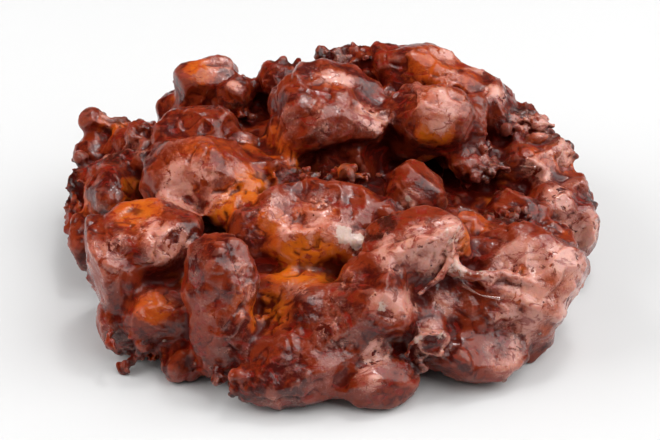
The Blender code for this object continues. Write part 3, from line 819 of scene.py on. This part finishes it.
def add_relief(skin, relief):
    """Moves the skin's points in and out: wrinkles, creases, bumps, blisters and crisp roughness."""
    normals = skin.normals()
    here = skin.points / MM
    # Each noise below has a seed of its own
    bend = np.stack([gradient_noise(here / BEND_SPACING, BEND_SEED + axis) for axis in range(3)], axis=1)
    bend *= BEND_REACH
    crisp = crag_nearness(here) * patches(here, *CRISP_PATCHES)
    crisp = np.maximum(crisp, patches(here, *CRISP_ELSEWHERE))
    wrinkle = lines((here + bend) * MM, relief.wrinkle_spacing, *WRINKLE_LINES)
    crease = lines((here - bend) * MM, relief.crease_spacing, *CREASE_LINES)
    fold = lines(here + bend * 0.5, *FOLD_LINES)
    bumps = gradient_noise((here + bend * 0.3) / BUMP_SPACING, 5)
    bumps += 0.5 * gradient_noise(here / (BUMP_SPACING / 2), 6)
    blister = np.clip(1 - (cell_distance(here / BLISTER_SPACING, 7) / BLISTER_RADIUS) ** 2, 0, 1)
    rough = np.abs(gradient_noise((here + bend * 0.2) / ROUGH_SPACING, 9)) * 2 - 0.4
    rough += 0.6 * gradient_noise(here / ROUGH_GRAIN, 10)
    out = relief.wrinkle_height / MM * wrinkle * patches(here, *WRINKLE_PATCHES)
    out -= relief.crease_depth / MM * crease * patches(here, *CREASE_PATCHES)
    out -= relief.fold_depth / MM * fold * patches(here, *FOLD_PATCHES)
    out += relief.bump_height / MM * bumps
    out += relief.blister_height / MM * blister * patches(here, *BLISTER_PATCHES)
    out += relief.crisp_height / MM * rough * crisp
    skin.points += normals * out[:, None] * MM
    skin.points[:, 2] = np.maximum(skin.points[:, 2], 0)


def keep_in_node_box(skin):
    """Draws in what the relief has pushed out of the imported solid's box."""
    low, high = np.array(NODE_BOX[0]), np.array(NODE_BOX[1])
    skin.points = np.clip(skin.points, low - BOX_MARGIN, high + BOX_MARGIN)
    skin.points[:, 2] = np.maximum(skin.points[:, 2], 0)


def put_shares(mesh, **shares):
    """Stores each array as a value from 0 to 1 on the mesh's points, under its own name."""
    for name, values in shares.items():
        layer = mesh.attributes.new(name, "FLOAT", "POINT")
        layer.data.foreach_set("value", np.clip(values, 0, 1).astype(np.float32))


def openness(mesh, skin, normals):
    """The share of what a point of the crust sees above it that isn't crust, from 0 to 1."""
    mesh.calc_loop_triangles()
    corners = np.empty(len(mesh.loop_triangles) * 3, dtype=int)
    mesh.loop_triangles.foreach_get("vertices", corners)
    tree = BVHTree.FromPolygons(skin.points.tolist(), corners.reshape(-1, 3).tolist())
    turn = np.arange(2 * FEELERS)
    height = 1 - (2 * turn + 1) / (2 * FEELERS)
    ring = np.sqrt(1 - height ** 2)
    around = turn * math.pi * (3 - math.sqrt(5))
    ways = np.stack([ring * np.cos(around), ring * np.sin(around), height], axis=1)
    facing = normals @ ways.T
    starts = skin.points + normals * FEELER_START * MM
    free = np.zeros(len(skin.points))
    for way, weight in zip(ways, facing.T):
        way = Vector(way)
        for index in np.nonzero(weight > FEELER_SLANT)[0]:
            if tree.ray_cast(Vector(starts[index]), way, FEELER_REACH)[0] is None:
                free[index] += weight[index]
    free /= np.where(facing > FEELER_SLANT, facing, 0).sum(axis=1)
    return skin.smooth(free[:, None], 2)[:, 0]


def paint_crust(mesh):
    """Works out how amber, hollow, crisp and thick with glaze the crust is at each point.

    How open a point is and its valleys set the painted shade; the glaze patches carry a painted sheen.
    """
    skin = Skin(mesh)
    normals = skin.normals()
    here = skin.points / MM
    open_share = openness(mesh, skin, normals)
    fine = hollowness(skin, normals, FINE_TURNS)
    broad = hollowness(skin, normals, BROAD_TURNS)
    crest = smoothstep(-fine, *CREST_HEIGHTS)
    valley = np.maximum(smoothstep(fine, *FINE_DEPTHS), smoothstep(broad, *BROAD_DEPTHS))
    patchy = gradient_noise(here / FREE_PATCH_SPACING, 40)
    shelter = 1 - smoothstep(open_share, *SHELTER_OPENNESS)
    amber = nearness(here, AMBER_SPOTS) * patches(here, *AMBER_PATCHES)
    amber = np.maximum(amber, 0.8 * smoothstep(patchy + 0.3 * shelter, 0.32, 0.6))
    crisp = crag_nearness(here) * patches(here, *CHAR_PATCHES)
    whole = 0.5 + 0.5 * patches(here, *WHOLE_GLAZE_PATCHES)
    # Milky glaze with painted sheen in the listed patches, and less of it as painted shade in shelter and
    # valleys
    elsewhere = 0.1 + gradient_noise(here / FREE_PATCH_SPACING, 43)
    glaze = np.maximum(nearness(here, GLAZE_AND_SHEEN_SPOTS) * whole, elsewhere)
    glaze *= (1 - 0.6 * shelter) * (1 - 0.4 * valley) * (1 - nearness(here, BARE_SPOTS))
    # Valleys count as less open, which deepens the painted shade in them
    open_share *= 1 - 0.7 * valley
    # Set white glaze, with painted highlights at some of the spots
    sugar = nearness(here, SUGAR_AND_HIGHLIGHT_SPOTS)
    put_shares(mesh, amber=amber, crisp=crisp, glaze=glaze, sugar=sugar, open=open_share, crest=crest)


# Kinds of node that the materials use most, with their settings, and the colour sockets of the last
ADD = ("ShaderNodeMath", {"operation": "ADD"})
LESS = ("ShaderNodeMath", {"operation": "SUBTRACT"})
TIMES = ("ShaderNodeMath", {"operation": "MULTIPLY"})
TIMES_ADD = ("ShaderNodeMath", {"operation": "MULTIPLY_ADD"})
SLOPE = ("ShaderNodeMapRange", {"interpolation_type": "SMOOTHSTEP"})
BLEND = ("ShaderNodeMix", {"data_type": "RGBA"})
BLEND_AMOUNT, BLEND_UNDER, BLEND_OVER, BLEND_RESULT = 0, 6, 7, 2


def to_linear(colour):
    """The linear colour of an sRGB hex value such as 8F3E22."""
    parts = [int(colour[start:start + 2], 16) / 255 for start in (0, 2, 4)]
    return [p / 12.92 if p <= 0.04045 else ((p + 0.055) / 1.055) ** 2.4 for p in parts] + [1.0]


def add_node(tree, kind, inputs=(), output=0):
    """Adds a node, sets or links its inputs, given by place or by name, and returns an output of it."""
    kind, settings = kind if isinstance(kind, tuple) else (kind, {})
    node = tree.nodes.new(kind)
    for name, value in settings.items():
        setattr(node, name, value)
    for name, value in inputs.items() if isinstance(inputs, dict) else enumerate(inputs):
        if isinstance(value, bpy.types.NodeSocket):
            tree.links.new(value, node.inputs[name])
        else:
            node.inputs[name].default_value = value
    return node.outputs[output] if node.outputs else node


def blank_material(name):
    """A material with an empty node tree."""
    material = bpy.data.materials.new(name)
    material.use_nodes = True
    material.node_tree.nodes.clear()
    return material


def glazed_crust(colours):
    """Fried wheat dough, dipped in boiled sugar glaze while hot and drained.

    The crust under the glaze is red-brown and a little translucent, amber where it fried less, with a
    painted shade of deep red between the lumps and in its pits. The glaze is a clear coat, smooth enough
    to mirror a soft box, and it lies in milky patches with ragged edges and small holes where it set
    thick. These patches are painted paler as the sheen and highlight of the soft boxes, and pale
    flecks are painted as glints.
    """
    material = blank_material("fried_dough_sugar_glazed")
    tree = material.node_tree
    place = add_node(tree, "ShaderNodeTexCoord", output="Object")
    share = {name: add_node(tree, ("ShaderNodeAttribute", {"attribute_name": name}), output="Fac")
             for name in ("amber", "crisp", "glaze", "sugar", "open", "crest")}
    # Browning patches of 7 mm, holes in the glaze of 3 mm, mottling of 1.8 mm, skin grain of 0.8 mm and
    # specks of 0.5 mm, each with its detail, roughness and distortion. Streaks are 3 mm by 6 mm
    drawn = add_node(tree, ("ShaderNodeVectorMath", {"operation": "MULTIPLY"}), (place, (0.55, 1, 1)))
    pattern = {}
    for name, where, size, detail, roughness, bend in (
            ("patches", place, 7, 3, 0.55, 0.3),
            ("streaks", drawn, 3, 5, 0.62, 1.4),
            ("holes", place, 2.9, 4, 0.62, 0.6),
            ("mottle", place, 1.8, 4, 0.65, 0.2),
            ("grain", place, 0.8, 3, 0.55, 0.0),
            ("specks", place, 0.5, 2, 0.5, 0.0)):
        pattern[name] = add_node(tree, "ShaderNodeTexNoise", {
            "Vector": where, "Scale": 1 / (size * MM), "Detail": detail, "Roughness": roughness,
            "Distortion": bend})
    # Burst blisters are pits about 4.5 mm apart, painted dark as the shade in them, and sugar beads,
    # painted pale as glints too, stand about 1.6 mm apart
    dots = {}
    for name, spacing, size in (("pits", 4.5, 0.07), ("beads", 1.6, 0.13)):
        near = add_node(tree, "ShaderNodeTexVoronoi", {"Vector": place, "Scale": 1 / (spacing * MM)})
        dots[name] = add_node(tree, SLOPE, (near, size * 0.5, size, 1.0, 0.0))

    ragged = add_node(tree, TIMES_ADD, (pattern["mottle"], 2.2, -1.1))
    browned = add_node(tree, TIMES_ADD, (ragged, 0.25, pattern["patches"]))
    amber = add_node(tree, TIMES_ADD, (ragged, 0.4, share["amber"]))
    crisp = add_node(tree, TIMES_ADD, (ragged, 0.6, share["crisp"]))
    film = add_node(tree, TIMES_ADD, (ragged, 0.4, share["glaze"]))
    film = add_node(tree, TIMES_ADD, (pattern["specks"], 0.3, film))
    hole = add_node(tree, SLOPE, (pattern["holes"], 0.58, 0.64, 0.0, 0.6))
    film = add_node(tree, LESS, (film, hole))
    film = add_node(tree, TIMES_ADD, (dots["pits"], -0.8, film))
    sugar = add_node(tree, TIMES_ADD, (ragged, 0.5, share["sugar"]))
    beads = add_node(tree, TIMES, (dots["beads"], add_node(tree, SLOPE, (film, 0.45, 0.8, 0.0, 0.8))))
    # Painted glints: pale flecks only where the crust is open to the lights
    painted_glints = add_node(tree, TIMES, (add_node(tree, SLOPE, (pattern["specks"], 0.7, 0.78)), share["open"]))

    # The thickest milky glaze, painted paler still as the highlight of the key box
    thick = add_node(tree, SLOPE, (film, 0.62, 0.7, 0.0, 1.0))
    milky_cloud_and_highlight = add_node(tree, TIMES, (thick, add_node(tree, SLOPE, (pattern["patches"], 0.46, 0.6))))

    # From the crust up: each colour, what it follows, from where to where, and how much it covers
    colour = colours.crust
    for over, follows, low, high, least, most in (
            (colours.dark_crust, browned, 0.42, 0.62, 0.0, 1.0),
            (colours.caramel, amber, 0.2, 0.5, 0.0, 1.0),
            (colours.amber, amber, 0.5, 0.95, 0.0, 1.0),
            (colours.char, crisp, 0.35, 0.8, 0.0, 0.8),
            # Painted shade: deep red in the burst pits, and where the crust is little open between the
            # lumps
            (colours.crevice_shade, dots["pits"], 0.0, 1.0, 0.0, 0.9),
            (colours.crevice_shade, share["open"], 0.12, 0.66, 0.95, 0.0),
            # Milky glaze, painted paler in its patches as the sheen of the soft boxes, palest in the middle
            (colours.glaze_film_and_sheen, film, 0.35, 0.62, 0.0, 0.28),
            (colours.glaze_film_and_sheen, thick, 0.0, 1.0, 0.0, 0.55),
            (colours.pale_glaze_and_highlight, milky_cloud_and_highlight, 0.0, 1.0, 0.0, 0.3),
            (colours.pale_glaze_and_highlight, film, 0.75, 1.1, 0.0, 0.6),
            (colours.streak, pattern["streaks"], 0.535, 0.64, 0.0, 0.75),
            (colours.glaze_film_and_sheen, share["crest"], 0.5, 1.0, 0.0, 0.25),
            # Set white glaze with painted highlights, and painted glints on flecks and beads
            (colours.set_glaze_and_glints, sugar, 0.4, 0.55, 0.0, 0.85),
            (colours.set_glaze_and_glints, painted_glints, 0.0, 1.0, 0.0, 0.3),
            (colours.set_glaze_and_glints, beads, 0.0, 1.0, 0.0, 0.7)):
        amount = add_node(tree, SLOPE, (follows, low, high, least, most))
        colour = add_node(tree, BLEND, {BLEND_AMOUNT: amount, BLEND_UNDER: colour, BLEND_OVER: over},
                          BLEND_RESULT)

    # Height of the fine relief: grain, the step at the edge of the film, pits, beads and crisp crumb
    height = add_node(tree, TIMES_ADD, (pattern["mottle"], 1.5, pattern["grain"]))
    for follows, low, high, rise in ((film, 0.5, 0.75, 1.0), (dots["pits"], 0, 1, -0.8), (beads, 0, 1, 0.9),
                                     (pattern["streaks"], 0.56, 0.63, -0.5)):
        step = add_node(tree, SLOPE, (follows, low, high, 0.0, rise))
        height = add_node(tree, ADD, (height, step))
    crumb = add_node(tree, TIMES, (add_node(tree, SLOPE, (crisp, 0.2, 0.7, 0.0, 3.0)), pattern["mottle"]))
    height = add_node(tree, ADD, (height, crumb))
    skin, glaze_skin = (add_node(tree, "ShaderNodeBump", {
        "Height": height, "Strength": strength, "Distance": 0.16 * MM}) for strength in (0.8, 0.4))
    # The glaze is thinnest between its patches, and has run out of the gaps between the lumps
    coat = add_node(tree, SLOPE, (film, 0.1, 0.65, 0.5, 0.9))
    coat = add_node(tree, TIMES, (coat, add_node(tree, SLOPE, (share["open"], 0.1, 0.55, 0.15, 1.0))))
    shader = add_node(tree, "ShaderNodeBsdfPrincipled", {
        "Base Color": colour, "Normal": skin, "IOR": 1.5, "Specular IOR Level": 0.1,
        "Roughness": add_node(tree, SLOPE, (film, 0.4, 0.8, 0.5, 0.28)),
        "Subsurface Weight": 0.3, "Subsurface Radius": (1.0, 0.2, 0.05), "Subsurface Scale": 1.5 * MM,
        "Coat Weight": coat, "Coat Roughness": 0.05, "Coat IOR": 1.54, "Coat Normal": glaze_skin})
    add_node(tree, "ShaderNodeOutputMaterial", (shader,))
    return material


def clear_glaze(colours):
    """Boiled sugar glaze, drawn out in threads and beads as the fritter drained.

    It is a smooth clear glass with milky clouds about 2 mm across, and takes the brown of the
    crust behind it.
    """
    material = blank_material("boiled_sugar_glaze")
    tree = material.node_tree
    place = add_node(tree, "ShaderNodeTexCoord", output="Object")
    clouds = add_node(tree, "ShaderNodeTexNoise", {"Vector": place, "Scale": 1 / (2 * MM), "Detail": 2})
    milky = add_node(tree, SLOPE, (clouds, 0.4, 0.7))
    colour = add_node(tree, BLEND, {BLEND_AMOUNT: milky, BLEND_UNDER: colours.glaze_film_and_sheen,
                                    BLEND_OVER: colours.set_glaze_and_glints}, BLEND_RESULT)
    shader = add_node(tree, "ShaderNodeBsdfPrincipled", {
        "Base Color": colour, "Roughness": 0.12, "IOR": 1.49, "Transmission Weight": 0.6})
    add_node(tree, "ShaderNodeOutputMaterial", (shader,))
    return material


def pale_floor(colours):
    """Matt white paper, laid flat: plain, with fibres too fine to see."""
    material = blank_material("matt_paper_sweep")
    tree = material.node_tree
    shader = add_node(tree, "ShaderNodeBsdfPrincipled", {
        "Base Color": colours.floor, "Roughness": 0.7, "Specular IOR Level": 0.2})
    add_node(tree, "ShaderNodeOutputMaterial", (shader,))
    return material


def length_setting(name, description, default):
    """A property that is a length in metres."""
    return bpy.props.FloatProperty(name=name, description=description, default=default, unit="LENGTH")


def colour_setting(name, description, value):
    """A property that is a colour, from its sRGB hex value."""
    return bpy.props.FloatVectorProperty(
        name=name, description=description, subtype="COLOR", size=4, min=0, max=1,
        default=to_linear(value))


class FritterRelief(bpy.types.PropertyGroup):
    """Sizes of the crust's fine relief."""

    cell: length_setting("Cell", "Size of the grid that the lumps are united on", 0.5 * MM)
    web: length_setting("Web", "How far the skin draws across the gaps between lumps", 1.0 * MM)
    triangles: bpy.props.IntProperty(
        name="Triangles", description="Most triangles of the crust", default=196000)
    wrinkle_height: length_setting("Wrinkle height", "How far a wrinkle stands up", 0.42 * MM)
    wrinkle_spacing: length_setting("Wrinkle spacing", "From one wrinkle to the next", 8 * MM)
    crease_depth: length_setting("Crease depth", "How deep a crease is", 0.55 * MM)
    crease_spacing: length_setting("Crease spacing", "From one crease to the next", 9.5 * MM)
    fold_depth: length_setting("Fold depth", "How deep a fine fold is", 0.25 * MM)
    bump_height: length_setting("Bump height", "Height of the soft bumps", 0.12 * MM)
    blister_height: length_setting("Blister height", "Height of a fried blister", 0.2 * MM)
    crisp_height: length_setting("Crisp height", "Roughness of the crisp crags", 0.8 * MM)


class FritterColours(bpy.types.PropertyGroup):
    """Colours of the fritter and its floor, with its painted shade, sheen and highlights."""

    crust: colour_setting("Crust", "Well browned crust", "74240A")
    dark_crust: colour_setting("Dark crust", "Crust browned the most", "440A03")
    caramel: colour_setting("Caramel", "Crust between amber and well browned", "A2400F")
    amber: colour_setting("Amber", "Crust that fried less, in the shelter of a lump", "B8580B")
    char: colour_setting("Char", "Crisp crags at their darkest", "2C0D07")
    # Painted shade in the pits and deep between the lumps, deep red as for light through the dough
    crevice_shade: colour_setting(
        "Crevice", "Deep between the lumps, where light comes through the dough", "420602")
    streak: colour_setting("Streak", "Streaks and runs where the glaze has drawn off", "7A1607")
    # Also painted as the sheen of the soft boxes on the milky patches
    glaze_film_and_sheen: colour_setting("Glaze film", "Crust seen through thick glaze", "AC6452")
    # Also painted as the highlight of the key box in the milky patches
    pale_glaze_and_highlight: colour_setting("Pale glaze", "The middle of a milky patch of glaze", "CC9282")
    # Also painted as highlights on some pools and as glints on flecks and beads
    set_glaze_and_glints: colour_setting("Thick glaze", "Set sugar glaze", "B89C8E")
    floor: colour_setting("Floor", "Paper under the fritter", "C8C8C8")


class FRITTER_OT_crust(bpy.types.Operator):
    """Unites the dough lumps into one crust with fine relief"""

    bl_idname = "fritter.crust"
    bl_label = "Crust"
    bl_options = {"REGISTER", "UNDO"}

    def execute(self, context):
        relief = context.scene.fritter_relief
        cell = relief.cell * 1
        crust = bpy.data.objects.new("glazed_crust", bpy.data.meshes.new("lumps"))
        context.scene.collection.objects.link(crust)
        large = [lump for lump in lumps() if max(lump.half) > SMALL_LUMP]
        small = [lump for lump in lumps() if max(lump.half) <= SMALL_LUMP]
        skin = united(crust, *heap_of_lumps(large, HEAP_FACET, relief.web), cell)
        skin.points -= skin.normals() * relief.web
        corners, faces = heap_of_lumps(small, HEAP_FACET)
        faces = np.concatenate([quads_of(crust.data), faces + len(skin.points)])
        skin = united(crust, np.concatenate([skin.points, corners]), faces, cell)
        skin.points = fit_to_node(skin.smooth(skin.points, 1))
        add_relief(skin, relief)
        keep_in_node_box(skin)
        skin.write()
        thin = crust.modifiers.new("thin", "DECIMATE")
        thin.ratio = min(1, relief.triangles / (2 * len(crust.data.polygons)))
        thin.use_collapse_triangulate = True
        apply_modifiers(crust)
        paint_crust(crust.data)
        crust.data.shade_smooth()
        crust.data.materials.clear()
        crust.data.materials.append(glazed_crust(context.scene.fritter_colours))
        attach(crust, "root")
        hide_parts(NODE)
        return {"FINISHED"}


def tube(path, radii):
    """Corners and faces of a round tube along the path, in metres."""
    steps = len(path)
    ahead = np.gradient(path, axis=0)
    ahead /= np.linalg.norm(ahead, axis=1, keepdims=True)
    side = np.cross(ahead, THREAD_ASKEW)
    side /= np.linalg.norm(side, axis=1, keepdims=True)
    up = np.cross(side, ahead)
    around = np.arange(THREAD_SIDES) * 2 * math.pi / THREAD_SIDES
    ring = side[:, None] * np.cos(around)[:, None] + up[:, None] * np.sin(around)[:, None]
    corners = (path[:, None] + ring * np.array(radii)[:, None, None]).reshape(-1, 3)
    faces = []
    for step in range(steps - 1):
        here, there = step * THREAD_SIDES, (step + 1) * THREAD_SIDES
        for turn in range(THREAD_SIDES):
            beside = (turn + 1) % THREAD_SIDES
            faces.append((here + turn, here + beside, there + beside, there + turn))
    faces.append(tuple(range(THREAD_SIDES))[::-1])
    faces.append(tuple(range((steps - 1) * THREAD_SIDES, steps * THREAD_SIDES)))
    return corners, faces


def joined(name, parts):
    """One object of the parts' corners and faces."""
    corners, faces = [], []
    for part_corners, part_faces in parts:
        faces += [[index + len(corners) for index in face] for face in part_faces]
        corners += [tuple(corner) for corner in part_corners]
    mesh = bpy.data.meshes.new(name)
    mesh.from_pydata(corners, [], faces)
    mesh.shade_smooth()
    return bpy.data.objects.new(name, mesh)


def glaze_threads():
    """The drawn threads of glaze as tubes."""
    parts = []
    for thread in THREADS:
        path = even_curve(thread.path, THREAD_STEPS) * MM
        radii = even_curve([(radius, 0, 0) for radius in thread.radii], THREAD_STEPS)[:, 0] * MM
        parts.append(tube(path, radii))
    return parts


def glaze_beads(mesh):
    """Small flattened beads of glaze along the lower edge, each on a point of the crust."""
    dice = random.Random(SEED + 2)
    sphere, faces = block_sphere(BEAD_FACETS)
    spots = [vertex for vertex in mesh.vertices
             if BEAD_LOW * MM < vertex.co.z < BEAD_HIGH * MM and vertex.normal.z < BEAD_FACING]
    parts = []
    for spot in dice.sample(spots, BEAD_COUNT):
        turn = np.array(spot.normal.to_track_quat("Z", "Y").to_matrix())
        radius = dice.uniform(*BEAD_RADIUS) * MM
        shape = sphere * np.array([1, dice.uniform(*BEAD_STRETCH), BEAD_FLATNESS]) * radius
        parts.append((shape @ turn.T + np.array(spot.co), faces.tolist()))
    return parts


class FRITTER_OT_glaze(bpy.types.Operator):
    """Adds the threads and beads of set glaze on the crust"""

    bl_idname = "fritter.glaze"
    bl_label = "Set glaze"
    bl_options = {"REGISTER", "UNDO"}

    def execute(self, context):
        crust = bpy.data.objects["glazed_crust"].data
        look = clear_glaze(context.scene.fritter_colours)
        for name, parts in (("glaze_threads", glaze_threads()), ("glaze_beads", glaze_beads(crust))):
            piece = joined(name, parts)
            context.scene.collection.objects.link(piece)
            piece.data.materials.append(look)
            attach(piece, "root")
        return {"FINISHED"}


def add_light(name, azimuth, height, distance, side, power):
    """A square soft box in the given direction from the fritter, turned to it.

    Only the key box and the top box show in the gloss of the glaze.
    """
    data = bpy.data.lights.new(name, "AREA")
    data.size = side
    data.energy = power
    light = bpy.data.objects.new(name, data)
    level = math.cos(height)
    way = Vector((level * math.cos(azimuth), level * math.sin(azimuth), math.sin(height)))
    light.location = Vector(LIGHT_AIM) + way * distance
    light.rotation_euler = way.to_track_quat("Z", "Y").to_euler()
    light.visible_glossy = name in GLOSSY_BOXES
    bpy.context.scene.collection.objects.link(light)


class FRITTER_OT_stage(bpy.types.Operator):
    """Adds the pale floor, the soft boxes and the camera"""

    bl_idname = "fritter.stage"
    bl_label = "Stage"
    bl_options = {"REGISTER", "UNDO"}

    def execute(self, context):
        scene = context.scene
        bpy.ops.mesh.primitive_plane_add(size=FLOOR_SIZE, location=(0, 0, -FLOOR_GAP))
        floor = context.object
        floor.name = "floor"
        floor.data.materials.append(pale_floor(scene.fritter_colours))
        world = bpy.data.worlds.new("studio")
        world.use_nodes = True
        world.node_tree.nodes["Background"].inputs["Color"].default_value = (1, 1, 1, 1)
        world.node_tree.nodes["Background"].inputs["Strength"].default_value = ROOM_LIGHT
        scene.world = world
        for name, azimuth, height, distance, side, power in SOFT_BOXES:
            add_light(name, math.radians(azimuth), math.radians(height), distance, side, power)
        camera = bpy.data.objects.new("camera", bpy.data.cameras.new("camera"))
        camera.data.lens = LENS_MM
        camera.data.sensor_width = SENSOR_MM
        lift = math.radians(CAMERA_ELEVATION)
        back = Vector((0, -math.cos(lift), math.sin(lift)))
        camera.location = Vector(CAMERA_AIM) + back * CAMERA_DISTANCE
        camera.rotation_euler = (-back).to_track_quat("-Z", "Y").to_euler()
        scene.collection.objects.link(camera)
        scene.camera = camera
        scene.view_settings.view_transform = "Standard"
        scene.cycles.use_denoising = True
        return {"FINISHED"}


class FRITTER_PT_panel(bpy.types.Panel):
    """Shows the fritter's settings and the buttons of its operators"""

    bl_idname = "FRITTER_PT_panel"
    bl_label = "Apple fritter"
    bl_space_type = "VIEW_3D"
    bl_region_type = "UI"
    bl_category = "Fritter"

    def draw(self, context):
        column = self.layout.column()
        for group in (context.scene.fritter_relief, context.scene.fritter_colours):
            for name in group.__annotations__:
                column.prop(group, name)
        for operator in OPERATORS:
            column.operator(operator.bl_idname)


OPERATORS = (FRITTER_OT_crust, FRITTER_OT_glaze, FRITTER_OT_stage)
GROUPS = (FritterRelief, FritterColours)


def register():
    """Adds the classes and the settings of the fritter."""
    for kind in GROUPS + OPERATORS + (FRITTER_PT_panel,):
        bpy.utils.register_class(kind)
    bpy.types.Scene.fritter_relief = bpy.props.PointerProperty(type=FritterRelief)
    bpy.types.Scene.fritter_colours = bpy.props.PointerProperty(type=FritterColours)


def unregister():
    """Takes the settings and the classes away again."""
    del bpy.types.Scene.fritter_colours
    del bpy.types.Scene.fritter_relief
    for kind in (FRITTER_PT_panel,) + OPERATORS[::-1] + GROUPS[::-1]:
        bpy.utils.unregister_class(kind)


def main():
    """Builds the fritter and its stage."""
    register()
    bpy.ops.fritter.crust()
    bpy.ops.fritter.glaze()
    bpy.ops.fritter.stage()


if __name__ == "__main__":
    main()
